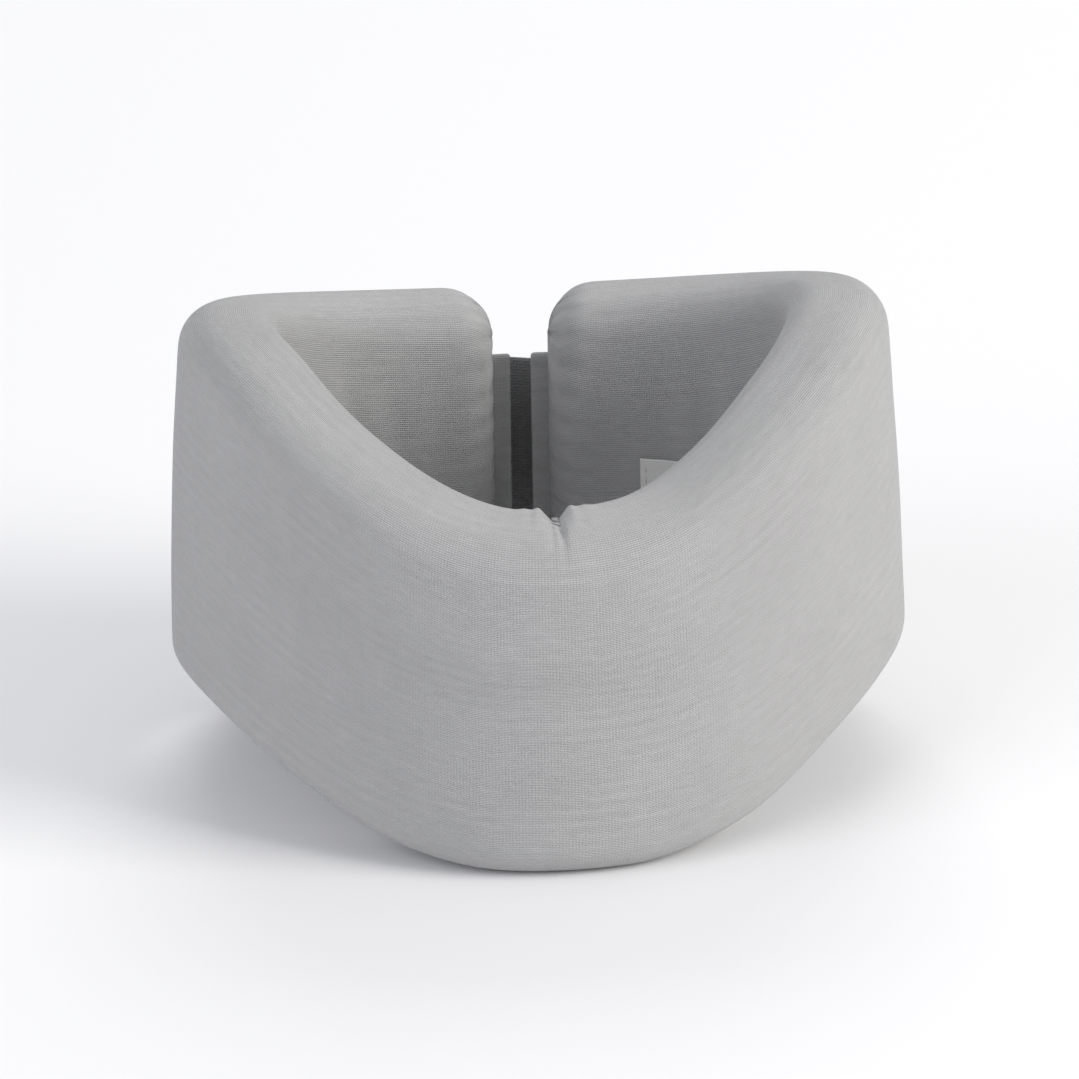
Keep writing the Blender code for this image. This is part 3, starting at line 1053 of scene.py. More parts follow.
@dataclass(frozen=True)
class Relief:
    """How the knitted sleeve departs from the band's plain shape.

    The strap lies on the outer face near the nape, so nothing there rises over the plain shape.
    """

    crown: float = 0.60 * MM
    wander: float = 0.22 * MM
    edge: float = 0.40 * MM
    gather: float = 0.60 * MM
    gather_pitch: float = 6.5 * MM
    dart_depth: float = 3.2 * MM
    dart_width: float = 3.0 * MM
    dart_around: float = 45.0 * MM
    seam_depth: float = 0.35 * MM
    seam_around: float = 181.5 * MM
    seam_width: float = 1.6 * MM
    seam_reach: float = 150.0 * MM
    strap_reach: float = 95.0 * MM
    strap_fade: float = 20.0 * MM
    rounding: Rounding = Rounding()

    def heights(self, arcs: np.ndarray, around: np.ndarray, ring: RingPattern) -> np.ndarray:
        """Height over the plain shape at each section and ring point.

        The faces are crowned as the sine of the way up them. Slow sines wander over the front, the
        edges are slightly uneven, dips gather at the two ends, a tuck is drawn in over the inner top
        edge under the chin, and a shallow groove follows the seam.

        Args:
            arcs: distances of the sections from the chin.
            around: distances of the ring's points round a section.
            ring: the ring's points.

        Returns:
            Heights by section and ring point.
        """
        _, up, cos, sin = ring.arrays()
        s, v = arcs[:, None], around[None, :]
        ahead = BAND.half_length() - self.rounding.end_arc - np.abs(s)
        clear = smooth_step((ahead + self.rounding.end_arc - self.strap_reach) / self.strap_fade)
        clear = np.where(cos[None, :] < -0.2, 1.0, clear)
        face = np.abs(cos) ** 2 * np.sin(math.pi * up)
        total = self.crown * clear * face * smooth_step(ahead / (25.0 * MM))
        wander = (np.sin(s / (17.3 * MM) + v / (23.0 * MM)) + np.sin(s / (9.1 * MM) - v / (31.0 * MM) + 1.3)
                  + 0.7 * np.sin(s / (5.3 * MM) + 2.0 * np.sin(v / (14.0 * MM))))
        total = total + self.wander / 2.0 * clear * wander
        uneven = np.sin(s / (7.7 * MM) + 0.8) + np.sin(s / (12.9 * MM) + 2.1 * np.sign(sin))
        total = total + self.edge / 2.0 * clear * np.abs(sin) ** 2 * uneven
        phase = v / self.gather_pitch + 0.25 * np.sin(v / (11.0 * MM)) + 0.04 * ahead / MM
        dips = (0.5 + 0.5 * np.cos(2.0 * math.pi * phase)) ** 2
        closing = self.rounding.share(ahead, self.rounding.thin_length)
        total = total - self.gather * dips * np.exp(-((ahead / (9.0 * MM)) ** 2)) * smooth_step(3.0 * closing)
        total = total + self.dart(s, v)
        return total - self.seam_depth * bump(v - self.seam_around, self.seam_width) * smooth_step(
            (self.seam_reach - np.abs(s)) / (6.0 * MM))

    def dart(self, arc: np.ndarray, around: np.ndarray) -> np.ndarray:
        """The tuck: a sharp valley across the inner top edge, two folds on each side, and a tail.

        Args:
            arc: distances from the chin.
            around: distances round the section.

        Returns:
            Heights: bells of the distance from each fold's own line, less the valley and the tail.
        """
        reach = bump(around - self.dart_around, 8.0 * MM)
        tail = bump(around - self.dart_around - 10.0 * MM, 6.0 * MM)
        valley = np.exp(-np.abs(arc / self.dart_width) ** 1.5)
        folds = (0.8 * MM * bump(np.abs(arc) - 5.4 * MM, 1.7 * MM)
                 + 0.35 * MM * bump(np.abs(arc) - 10.0 * MM, 2.0 * MM))
        notch = bump(arc - 1.3 * MM, 0.9 * MM) + 0.5 * bump(arc + 1.6 * MM, 1.0 * MM)
        return reach * (folds - self.dart_depth * valley) - 1.0 * MM * tail * notch


@dataclass(frozen=True)
class SlackCloth:
    """Cloth simulation of the sleeve: its inner face has cloth to spare and wrinkles over the foam.

    Springs to the plain shape stand for the foam under it, and the hems, the tuck and the cloth under
    the strap are held. The result is evened out, because its finest wrinkles are as small as its steps.
    """

    columns: int = 80
    spacing: float = 2.6 * MM
    slack: float = 0.018
    hold: float = 0.4
    seed_height: float = 0.5 * MM
    seed_length: float = 15.0 * MM
    frames: int = 14
    limit: float = 0.8 * MM
    smoothing: int = 2
    quality: int = 6
    mass: float = 0.05
    stretch: float = 25.0
    shear: float = 8.0
    bending: float = 5.0
    damping: float = 12.0
    air: float = 6.0
    pin: float = 2.0

    def seed(self, arcs: np.ndarray, ring: RingPattern) -> np.ndarray:
        """Upright folds for the wrinkles to grow from: a sine along the band whose phase drifts.

        Args:
            arcs: distances of the sections from the chin.
            ring: the ring's points.

        Returns:
            Heights by section and ring point.
        """
        up = ring.arrays()[1][None, :]
        phase = arcs[:, None] / self.seed_length + 0.35 * np.sin(arcs[:, None] / (31.0 * MM) + 2.6 * up)
        fade = 0.6 + 0.4 * np.sin(arcs[:, None] / (19.0 * MM) - 3.1 * up + 1.0)
        return self.seed_height * fade * np.sin(2.0 * math.pi * phase)

    def settle(self, points: np.ndarray, held: np.ndarray, taut: np.ndarray) -> np.ndarray:
        """Run the simulation.

        Args:
            points: sections by ring points by XYZ.
            held: how firmly each point is held, 0 to 1.
            taut: 0 where the cloth has all its spare length, 1 where it has none.

        Returns:
            How far each point moves.
        """
        rows, columns = points.shape[:2]
        sheaf = Sheaf()
        sheaf.add(points, np.zeros((rows, columns + 1, 2)), wrap=True)
        piece = bpy.data.objects.new("slack_cloth", sheaf.mesh("slack_cloth"))
        bpy.context.scene.collection.objects.link(piece)
        for label, weights in (("held", held), ("taut", taut)):
            group = piece.vertex_groups.new(name=label)
            for number, weight in enumerate(weights.ravel()):
                group.add([number], float(weight), "REPLACE")
        cloth = piece.modifiers.new("cloth", "CLOTH")
        settings = cloth.settings
        settings.quality = self.quality
        settings.mass = self.mass
        settings.tension_stiffness = settings.compression_stiffness = self.stretch
        settings.shear_stiffness = self.shear
        settings.bending_stiffness = self.bending
        settings.tension_damping = settings.compression_damping = self.damping
        settings.air_damping = self.air
        settings.vertex_group_mass = "held"
        settings.pin_stiffness = self.pin
        settings.vertex_group_shrink = "taut"
        settings.shrink_max = 0.0
        settings.shrink_min = -self.slack
        settings.effector_weights.gravity = 0.0
        cloth.collision_settings.use_collision = False
        scene = bpy.context.scene
        scene.frame_start, scene.frame_end = 1, self.frames
        cloth.point_cache.frame_start, cloth.point_cache.frame_end = 1, self.frames
        for number in range(1, self.frames + 1):
            scene.frame_set(number)
        graph = bpy.context.evaluated_depsgraph_get()
        settled = piece.evaluated_get(graph).to_mesh()
        moved = np.empty(rows * columns * 3, np.float32)
        settled.vertices.foreach_get("co", moved)
        piece.evaluated_get(graph).to_mesh_clear()
        bpy.data.objects.remove(piece)
        scene.frame_set(1)
        shift = moved.reshape(points.shape).astype(float) - points
        far = np.linalg.norm(shift, axis=-1, keepdims=True)
        LOG.info("slack cloth: %d points, moved %.2f mm at most", rows * columns, far.max() / MM)
        return shift * (self.limit * np.tanh(far / self.limit) / np.maximum(far, 1e-9))


def spline(grid: np.ndarray, places: np.ndarray, axis: int, closed: bool) -> np.ndarray:
    """Read a grid between its points along one axis, by Catmull-Rom cubics.

    Args:
        grid: the values.
        places: positions along the axis, in steps of the grid.
        axis: the axis.
        closed: whether its end meets its start.

    Returns:
        The grid with the axis as long as places.
    """
    count = grid.shape[axis]
    base = np.floor(places).astype(int)
    part = (places - base).reshape([-1 if n == axis else 1 for n in range(grid.ndim)])
    found = []
    for offset in (-1, 0, 1, 2):
        index = (base + offset) % count if closed else np.clip(base + offset, 0, count - 1)
        found.append(np.take(grid, index, axis=axis))
    before, start, end, after = found
    return start + 0.5 * part * (end - before + part * (
        2.0 * before - 5.0 * start + 4.0 * end - after + part * (3.0 * (start - end) + after - before)))


@dataclass(frozen=True)
class Stitching:
    """Sewing with separate stitches of thread: a stitch's length, the gap after it and its radius."""

    length: float = 2.5 * MM
    gap: float = 0.8 * MM
    radius: float = 0.23 * MM
    rings: int = 9
    sides: int = 8

    def sew(self, name: str, starts: np.ndarray, ends: np.ndarray, normals: np.ndarray) -> bpy.types.Mesh:
        """Make stitches: tubes that rise over the cloth as a sine and dive into it at both ends.

        Args:
            name: the mesh's name.
            starts: where each stitch comes up.
            ends: where it goes down.
            normals: the cloth's normal at each.

        Returns:
            One mesh of all the stitches.
        """
        t = np.linspace(0.0, 1.0, self.rings)
        path = starts[:, None] + (ends - starts)[:, None] * t[None, :, None]
        lift = self.radius * (1.5 * np.sin(math.pi * t) ** 0.6 - 1.1)
        path = path + normals[:, None] * lift[None, :, None]
        radius = np.broadcast_to(self.radius * np.sin(math.pi * np.clip(t, 0.0, 1.0)) ** 0.3, path.shape[:2])
        up = np.broadcast_to(normals[:, None], path.shape)
        return many_tubes(name, tube_grid(path, up, radius, self.sides, 0.85), self.length)

    def along(self, points: np.ndarray, normals: np.ndarray) -> tuple[np.ndarray, np.ndarray, np.ndarray]:
        """Share a path out among stitches.

        Args:
            points: points along the path.
            normals: the cloth's normals there.

        Returns:
            Each stitch's start, its end and its normal.
        """
        steps = np.linalg.norm(np.diff(points, axis=0), axis=1)
        length = np.concatenate(([0.0], np.cumsum(steps)))
        count = max(1, int(round(length[-1] / (self.length + self.gap))))
        pitch = length[-1] / count
        begin = np.arange(count) * pitch + 0.5 * self.gap
        finish = begin + pitch - self.gap
        read = [np.stack([np.interp(place, length, values[:, k]) for k in range(3)], axis=1)
                for place, values in ((begin, points), (finish, points), ((begin + finish) / 2.0, normals))]
        return read[0], read[1], read[2] / np.linalg.norm(read[2], axis=1, keepdims=True)

    def follow(self, name: str, lines: list[tuple[np.ndarray, np.ndarray]]) -> bpy.types.Mesh:
        """Sew along several paths, each given as its points and the normals there."""
        parts = [self.along(*line) for line in lines]
        return self.sew(name, *(np.concatenate(column) for column in zip(*parts)))


def put_normals(mesh: bpy.types.Mesh, normals: np.ndarray) -> None:
    """Give every vertex its own normal."""
    mesh.normals_split_custom_set_from_vertices(normals.reshape(-1, 3).tolist())


@dataclass
class Sleeve:
    """The knitted sleeve with its foam, seam, tuck and hems."""

    finishes: Wardrobe
    relief: Relief = Relief()
    rounding: Rounding = Rounding()
    ring: RingPattern = RingPattern(224)
    cloth: SlackCloth = SlackCloth()
    rows: int = 232
    wall: float = 0.8 * MM
    foam_inset: float = 1.15 * MM
    foam_short: float = 1.0 * MM
    foam_dent: float = 5.0 * MM
    seam_pitch: float = 1.5 * MM
    seam_reach: float = 146.0 * MM
    seam_half: float = 1.3 * MM
    blend_start: float = -0.045
    blend_end: float = 0.033

    def __post_init__(self) -> None:
        """Shape the whole sleeve's surface."""
        self.length = BAND.half_length() - self.rounding.end_arc
        arcs = self.stations()
        around, points = self.plain(arcs, self.ring)
        points = points + self.wrinkles(arcs)
        normals = grid_normals(points)
        points = points + normals * self.relief.heights(arcs, around, self.ring)[..., None]
        self.skin = Skin(arcs, around, points, grid_normals(points))

    def stations(self) -> np.ndarray:
        """Space the sections evenly over the skin, and closer at the tuck and the ends.

        Returns:
            Distances from the chin.
        """
        end = self.length + self.rounding.reach
        spots = end - end * np.linspace(1.0, 0.0, 12001) ** 2
        half = BAND.thickness / 2.0 * self.rounding.share(self.length - spots, self.rounding.thin_length)
        density = 1.0 + 1.4 * bump(spots, 9.0 * MM) + 0.8 * bump(spots - end, 10.0 * MM)
        steps = np.hypot(np.diff(spots), np.diff(half)) * density[1:]
        total = np.concatenate(([0.0], np.cumsum(steps)))
        half = np.interp(np.linspace(0.0, total[-1], self.rows), total, spots)
        return np.concatenate((-half[:0:-1], half))

    def plain(self, arcs: np.ndarray, ring: RingPattern, inset: float = 0.0) -> tuple[np.ndarray, np.ndarray]:
        """The band's plain shape, with its corners evened out.

        Args:
            arcs: distances of the sections from the chin.
            ring: the ring's points.
            inset: how far inside the band's section the shape lies.

        Returns:
            Each ring point's distance round the section, and the points.
        """
        angle = BAND.angle_at(arcs)
        out, height = section_grid(angle, self.length - np.abs(arcs), inset, ring, self.rounding)
        around = (np.arange(ring.count) + 0.5) * ring.perimeter() / ring.count
        return around, soften(BAND.point(angle[:, None], out, height), max(1, ring.count // 40))

    def wrinkles(self, arcs: np.ndarray) -> np.ndarray:
        """Simulate the sleeve on a coarser grid and read its movement between those points.

        Args:
            arcs: distances of the sections from the chin.

        Returns:
            The movement of each of the sleeve's points.
        """
        ring = RingPattern(self.cloth.columns)
        count = 2 * int(self.length / self.cloth.spacing) + 1
        coarse = np.linspace(-self.length, self.length, count)
        _, points = self.plain(coarse, ring)
        _, up, cos, _ = ring.arrays()
        inside = smooth_step(-2.0 * cos - 0.6) * smooth_step(3.2 * (1.0 - up)) * smooth_step(4.0 * up)
        inside = inside[None, :]
        ends = smooth_step((np.abs(coarse) - self.length + 7.0 * MM) / (5.0 * MM))[:, None]
        tuck = bump(coarse, 7.0 * MM)[:, None] * inside
        rear = smooth_step((np.abs(coarse) - self.length + self.relief.strap_reach) / (8.0 * MM))[:, None]
        held = np.maximum.reduce([np.full(points.shape[:2], self.cloth.hold), ends + 0.0 * inside, tuck,
                                  rear * smooth_step(cos * 2.0)[None, :]])
        folds = self.cloth.seed(coarse, ring) * inside * (1.0 - ends)
        seeded = points + grid_normals(points) * folds[..., None]
        shift = self.cloth.settle(seeded, np.clip(held, 0.0, 1.0), 1.0 - inside * (1.0 - ends))
        shift = soften(shift + seeded - points, self.cloth.smoothing)
        shift = soften(shift.swapaxes(0, 1), self.cloth.smoothing).swapaxes(0, 1)
        rows = (arcs + self.length) / (2.0 * self.length) * (count - 1)
        columns = (np.arange(self.ring.count) + 0.5) * ring.count / self.ring.count - 0.5
        return spline(spline(shift, rows, 0, False), columns, 1, True)

    def bend(self, piece: bpy.types.Object) -> None:
        """Bake the piece's transform into its mesh."""
        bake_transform(piece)

    def rows_of(self, arcs: np.ndarray, side: Side) -> np.ndarray:
        """Numbers of the sections on one side, with the one at the chin."""
        middle = len(arcs) // 2
        return np.arange(middle, len(arcs)) if side is Side.LEFT else np.arange(0, middle + 1)

    def build_half(self, side: Side) -> bpy.types.Object:
        """Half of the sleeve: an outer skin, an inner one, and strips that close its two ends.

        Args:
            side: which half.

        Returns:
            The piece.
        """
        skin, ring = self.skin, self.ring
        rows = self.rows_of(skin.arcs, side)
        points, normals = skin.points[rows], skin.normals[rows]
        sparse = np.unique(np.concatenate((np.arange(0, len(rows), 4), [len(rows) - 1])))
        mirror = (ring.count // 2 - 1 - np.arange(ring.count)) % ring.count
        thick = np.linalg.norm(points - points[:, mirror], axis=-1)
        wall = np.minimum(self.wall, 0.3 * thick)[..., None]
        inner = (points - normals * wall)[sparse]
        v = np.append(skin.around, skin.around[0] + ring.perimeter())
        uvs = np.stack(np.meshgrid(skin.arcs[rows], v, indexing="ij"), axis=-1)
        sheaf = Sheaf()
        outer_first = sheaf.add(points, uvs, wrap=True)
        inner_first = sheaf.add(inner, uvs[sparse], wrap=True, flip=True)
        loop = np.append(np.arange(ring.count), 0)
        near, far = ring.mirrored()
        outer_last = outer_first + (len(rows) - 1) * ring.count
        inner_last = inner_first + (len(sparse) - 1) * ring.count
        if side is Side.LEFT:
            sheaf.join(inner_first + loop, outer_first + loop)
            sheaf.join(outer_last + far, outer_last + near)
            sheaf.join(inner_last + near, inner_last + far)
        else:
            sheaf.join(outer_last + loop, inner_last + loop)
            sheaf.join(outer_first + near, outer_first + far)
            sheaf.join(inner_first + far, inner_first + near)
        mesh = sheaf.mesh(f"knit_sleeve_{side.word}")
        put_normals(mesh, np.concatenate((normals.reshape(-1, 3), -normals[sparse].reshape(-1, 3))))
        piece = place(f"knit_sleeve_{side.word}", mesh, self.finishes.knit)
        self.bend(piece)
        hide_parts("cover_front", f"cover_{side.word}")
        return piece

    def build_foam(self, side: Side) -> bpy.types.Object:
        """Half of the foam band, just inside the sleeve's inner skin and dented under the tuck.

        Args:
            side: which half.

        Returns:
            The piece.
        """
        ring = RingPattern(72)
        end = self.length - self.foam_short
        arcs = np.linspace(-end, end, 181)
        around, points = self.plain(arcs, ring, self.foam_inset)
        dent = bump(arcs, 8.0 * MM)[:, None] * bump(around - 47.0 * MM, 13.0 * MM)[None, :]
        points = points - grid_normals(points) * (self.foam_dent * dent)[..., None]
        rows = self.rows_of(arcs, side)
        points, arcs = points[rows], arcs[rows]
        v = np.arange(ring.count + 1) * ring.perimeter() / ring.count
        sheaf = Sheaf()
        first = sheaf.add(points, np.stack(np.meshgrid(arcs, v, indexing="ij"), axis=-1), wrap=True)
        near, far = ring.mirrored()
        last = first + (len(arcs) - 1) * ring.count
        sheaf.join(first + near, first + far)
        sheaf.join(last + far, last + near)
        piece = place(f"foam_{side.word}", sheaf.mesh(f"foam_{side.word}"), self.finishes.foam)
        self.bend(piece)
        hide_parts("foam_core_front", f"foam_core_{side.word}")
        return piece

    def build_seam(self, side: Side) -> bpy.types.Object:
        """Half of the seam that closes the sleeve: zigzag stitches between two lines.

        Args:
            side: which half.

        Returns:
            The piece.
        """
        arcs = np.arange(0.0, self.seam_reach, self.seam_pitch)
        arcs = side.value * (arcs + 0.5 * self.seam_pitch)
        swing = np.where(np.arange(len(arcs)) % 2 == 0, self.seam_half, -self.seam_half)
        points, normals = self.skin.at(arcs, self.relief.seam_around + swing, np.full(len(arcs), 0.05 * MM))
        sewing = Stitching(radius=0.2 * MM)
        mesh = sewing.sew(f"seam_{side.word}", points[:-1], points[1:], (normals[:-1] + normals[1:]) / 2.0)
        piece = place(f"seam_thread_{side.word}", mesh, self.finishes.thread)
        self.bend(piece)
        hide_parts("inner_seam_front", f"inner_seam_{side.word}")
        return piece

    def build_tuck(self) -> bpy.types.Object:
        """Slanted stitches across the tuck under the chin.

        Returns:
            The piece.
        """
        around = np.linspace(34.0, 53.0, 9) * MM
        sewing, half, level = Stitching(radius=0.24 * MM), 1.5 * MM, np.full(len(around), 0.1 * MM)
        starts, normals = self.skin.at(np.full(len(around), -half), around, level)
        ends, others = self.skin.at(np.full(len(around), half), around + 1.1 * MM, level)
        normal = normals + others
        normal /= np.linalg.norm(normal, axis=1, keepdims=True)
        piece = place("tuck_thread", sewing.sew("tuck", starts, ends, normal), self.finishes.thread)
        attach(piece, "front")
        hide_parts("chin_dart_stitches")
        return piece

    def build(self) -> None:
        """Build every piece of the sleeve."""
        for side in Side:
            self.build_half(side)
            self.build_foam(side)
            self.build_seam(side)
            Hem(side, self.finishes).build()
        self.build_tuck()


# ---------------------------------------------------------------------------------------------------
# Flat strips that lie round the band
# ---------------------------------------------------------------------------------------------------


@dataclass(frozen=True)
class Tape:
    """A flat strip round the band, with rounded edges.

    Its reach is given as distances from the nape along the outer face, positive to the left, from the
    larger to the smaller. Its corners can be rounded at the far end.
    """

    start: float
    end: float
    width: float
    thickness: float
    middle: float = 48.0 * MM
    corner: float = 0.0
    step: float = 0.8 * MM
    edge: int = 3

    def stations(self) -> np.ndarray:
        """Space the sections: even along the strip, and closer at both ends and at rounded corners.

        Returns:
            Distances from the nape.
        """
        radius = self.thickness / 2.0
        near = radius * (1.0 - np.cos(np.linspace(0.0, math.pi / 2.0, 5)))
        count = max(3, int((self.start - self.end - 2.0 * radius) / self.step))
        inside = np.linspace(near[-1], self.start - self.end - near[-1], count)[1:-1]
        total = self.start - self.end
        tip = np.array([]) if not self.corner else self.corner * (1.0 - np.cos(np.linspace(0.1, 1.3, 9)))
        spots = np.unique(np.concatenate((near, inside, total - near, total - tip)))
        return self.start - spots

    def half_width(self, arcs: np.ndarray) -> np.ndarray:
        """Half of the width at each section: the far corners are quarter circles.

        Args:
            arcs: the sections' distances from the nape.

        Returns:
            The half widths.
        """
        if not self.corner:
            return np.full(len(arcs), self.width / 2.0)
        left = np.clip(self.corner - (arcs - self.end), 0.0, self.corner)
        return self.width / 2.0 - self.corner + np.sqrt(self.corner ** 2 - left ** 2)

    def section(self, arcs: np.ndarray) -> tuple[np.ndarray, np.ndarray]:
        """Points of the strip's section.

        The ring goes up the face that looks inwards, round the top edge, down the other face and round
        the bottom edge. The ends close as a half circle.

        Args:
            arcs: the sections' distances from the nape.

        Returns:
            Places up the width and places through the thickness, by section and ring point.
        """
        radius = self.thickness / 2.0
        ends = np.minimum(np.minimum(self.start - arcs, arcs - self.end) / radius, 1.0)
        radius = (radius * np.sqrt(np.maximum(1.0 - (1.0 - ends) ** 2, 0.0)))[:, None]
        flat = self.half_width(arcs)[:, None] - self.thickness / 2.0
        count = int(self.width / self.step)
        face = np.linspace(-1.0, 1.0, count)[None, :]
        turn = np.linspace(-math.pi / 2.0, math.pi / 2.0, self.edge + 2)[1:-1][None, :]
        across = np.concatenate((flat * face, flat + radius * np.cos(turn), -flat * face,
                                 -flat - radius * np.cos(turn)), axis=1)
        through = np.concatenate((-radius + 0.0 * face, radius * np.sin(turn), radius + 0.0 * face,
                                  -radius * np.sin(turn)), axis=1)
        return across, through

    def mesh(self, name: str, out: Rise, relief: Callable[..., np.ndarray] | None = None) -> bpy.types.Mesh:
        """Make the strip.

        Args:
            name: the mesh's name.
            out: function of the distance from the nape that gives its inner face's height over the band.
            relief: function of the distance from the nape, the place up the width and the place through
                the thickness that gives the movement through the thickness.

        Returns:
            The mesh, closed.
        """
        arcs = self.stations()
        across, through = self.section(arcs)
        offset = out(arcs)[:, None] + self.thickness / 2.0 + through
        if relief is not None:
            offset = offset + relief(arcs[:, None], across, through)
        points = BAND.point(BAND.nape_angle(arcs)[:, None], offset, self.middle + across)
        sheaf = Sheaf()
        v = np.concatenate((across, across[:, :1]), axis=1)
        u = np.broadcast_to(arcs[:, None], v.shape)
        sheaf.add(points, np.stack((u, v), axis=-1), wrap=True)
        mesh = sheaf.mesh(name)
        weld(mesh)
        return mesh

    def box_line(self, out: Rise, rows: int = 40) -> tuple[np.ndarray, np.ndarray]:
        """A rectangle sewn inside the strip's edges.

        Args:
            out: function of the distance from the nape that gives its inner face's height over the band.
            rows: steps along each of the four lines.

        Returns:
            Points on its outer face, and the normals there.
        """
        high, low = self.start - STITCH_INSET, self.end + STITCH_INSET
        half = self.width / 2.0 - STITCH_INSET
        corners = np.array([(high, -half), (low, -half), (low, half), (high, half), (high, -half)])
        spots = np.linspace(0.0, 4.0, 4 * rows + 1)
        arcs = np.interp(spots, np.arange(5), corners[:, 0])
        across = np.interp(spots, np.arange(5), corners[:, 1])
        return on_band(arcs, out(arcs) + self.thickness, self.middle + across)


def on_band(arcs: np.ndarray, out: np.ndarray, height: np.ndarray) -> tuple[np.ndarray, np.ndarray]:
    """Points over the band's outer face, and the level normals there.

    Args:
        arcs: distances from the nape.
        out: distances outside the face.
        height: heights over the surface that the collar stands on.

    Returns:
        The points and the normals.
    """
    angle = BAND.nape_angle(arcs)
    along_x, along_y = BAND.slope(angle)
    length = np.hypot(along_x, along_y)
    normals = np.stack((along_y / length, -along_x / length, np.zeros_like(length)), axis=-1)
    return BAND.point(angle, out, height), np.broadcast_to(normals, (*np.shape(angle), 3))


@dataclass(frozen=True)
class Closure:
    """Sizes of the strap, the two tapes and the gaps between them, and the strap's path."""

    gap: float = 0.3 * MM
    root: float = 9.2 * MM
    loop: Tape = Tape(-8.5 * MM, -90.0 * MM, 50.0 * MM, 1.5 * MM)
    hook: Tape = Tape(-12.5 * MM, -58.0 * MM, 43.0 * MM, 1.0 * MM)
    strap: Tape = Tape(52.0 * MM, -66.0 * MM, 50.0 * MM, 1.2 * MM, corner=12.0 * MM)

    def strap_out(self, arcs: np.ndarray) -> np.ndarray:
        """Height of the strap's inner face over the band: it steps up over the two tapes."""
        climb = smooth_step((self.root - arcs) / (self.root - self.loop.start))
        return self.gap + climb * (self.loop.thickness + self.hook.thickness + 2.0 * self.gap)

    def loop_out(self, arcs: np.ndarray) -> np.ndarray:
        """Height of the loop tape's inner face over the band."""
        return np.full(np.shape(arcs), self.gap)

    def hook_out(self, arcs: np.ndarray) -> np.ndarray:
        """Height of the hook tape's inner face: it hangs just under the strap."""
        return self.strap_out(arcs) - self.gap - self.hook.thickness


CLOSURE = Closure()


@dataclass(frozen=True)
class Hem:
    """The flattened, puckered end of the sleeve, stitched shut."""

    side: Side
    finishes: Wardrobe
    root: float = 8.3 * MM
    tip: float = 2.7 * MM
    width: float = 64.0 * MM
    thickness: float = 1.8 * MM
    middle: float = 48.05 * MM
    pucker: float = 0.16 * MM
    stitches: int = 26
    stitch_out: float = -11.05 * MM

    def out(self, arcs: np.ndarray) -> np.ndarray:
        """Height of its inner face over the band's outer face: it stands in the band's middle."""
        return np.full(np.shape(arcs), -BAND.thickness / 2.0 - self.thickness / 2.0)

    def ripple(self, arcs: np.ndarray, across: np.ndarray, through: np.ndarray) -> np.ndarray:
        """Puckers: two sines up the hem that grow towards its tip.

        Args:
            arcs: distances from the nape.
            across: places up the width.
            through: places through the thickness.

        Returns:
            The movement through the thickness.
        """
        grow = 0.25 + 0.75 * smooth_step((self.root - np.abs(arcs)) / (self.root - self.tip))
        wave = np.sin(across / (1.07 * MM) + self.side.value) + 0.6 * np.sin(across / (0.63 * MM) + 0.7)
        return self.pucker * grow * wave + 0.0 * through

    def build(self) -> None:
        """Build the hem and the overlock stitches along it."""
        reach = (self.root, self.tip) if self.side is Side.LEFT else (-self.tip, -self.root)
        tape = Tape(*reach, self.width, self.thickness, middle=self.middle, step=0.45 * MM, edge=5)
        name = f"hem_{self.side.word}"
        piece = place(name, tape.mesh(name, self.out, self.ripple), self.finishes.knit)
        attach(piece, f"{self.side.word}_wing")
        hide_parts(f"{self.side.word}_end_hem")
        half = self.width / 2.0 - STITCH_INSET
        height = self.middle + np.linspace(-half, half, self.stitches)
        level = np.full(self.stitches, self.stitch_out)
        tip, root = (self.side.value * (self.tip + inwards) for inwards in (1.0 * MM, 2.9 * MM))
        starts, normals = on_band(np.full(self.stitches, tip), level, height)
        ends, _ = on_band(np.full(self.stitches, root), level, height + 1.2 * MM)
        mesh = Stitching(radius=0.2 * MM).sew(f"{name}_thread", starts, ends, normals)
        thread = place(f"{name}_thread", mesh, self.finishes.thread)
        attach(thread, f"{self.side.word}_wing")
        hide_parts(f"{self.side.word}_end_stitches")


def scatter(tape: Tape, pitch: float, jitter: float, seed: int) -> tuple[np.ndarray, np.ndarray]:
    """Places on a tape in staggered rows, each a little off its own.

    Args:
        tape: the tape.
        pitch: distance between rows, and between places in a row.
        jitter: how far a place may be off, each way.
        seed: seed of the random numbers.

    Returns:
        Distances from the nape, and places up the width.
    """
    rng = np.random.default_rng(seed)
    arcs = np.arange(tape.end + pitch, tape.start - 0.7 * pitch, pitch)
    across = np.arange(-tape.width / 2.0 + pitch, tape.width / 2.0 - 0.7 * pitch, pitch)
    a, c = np.meshgrid(arcs, across, indexing="ij")
    c = c + np.where(np.arange(len(arcs)) % 2, 0.5 * pitch, 0.0)[:, None]
    a = a + rng.uniform(-jitter, jitter, a.shape)
    c = c + rng.uniform(-jitter, jitter, c.shape)
    edge = tape.width / 2.0 - 0.6 * MM
    return a.ravel(), np.clip(c, -edge, edge).ravel()


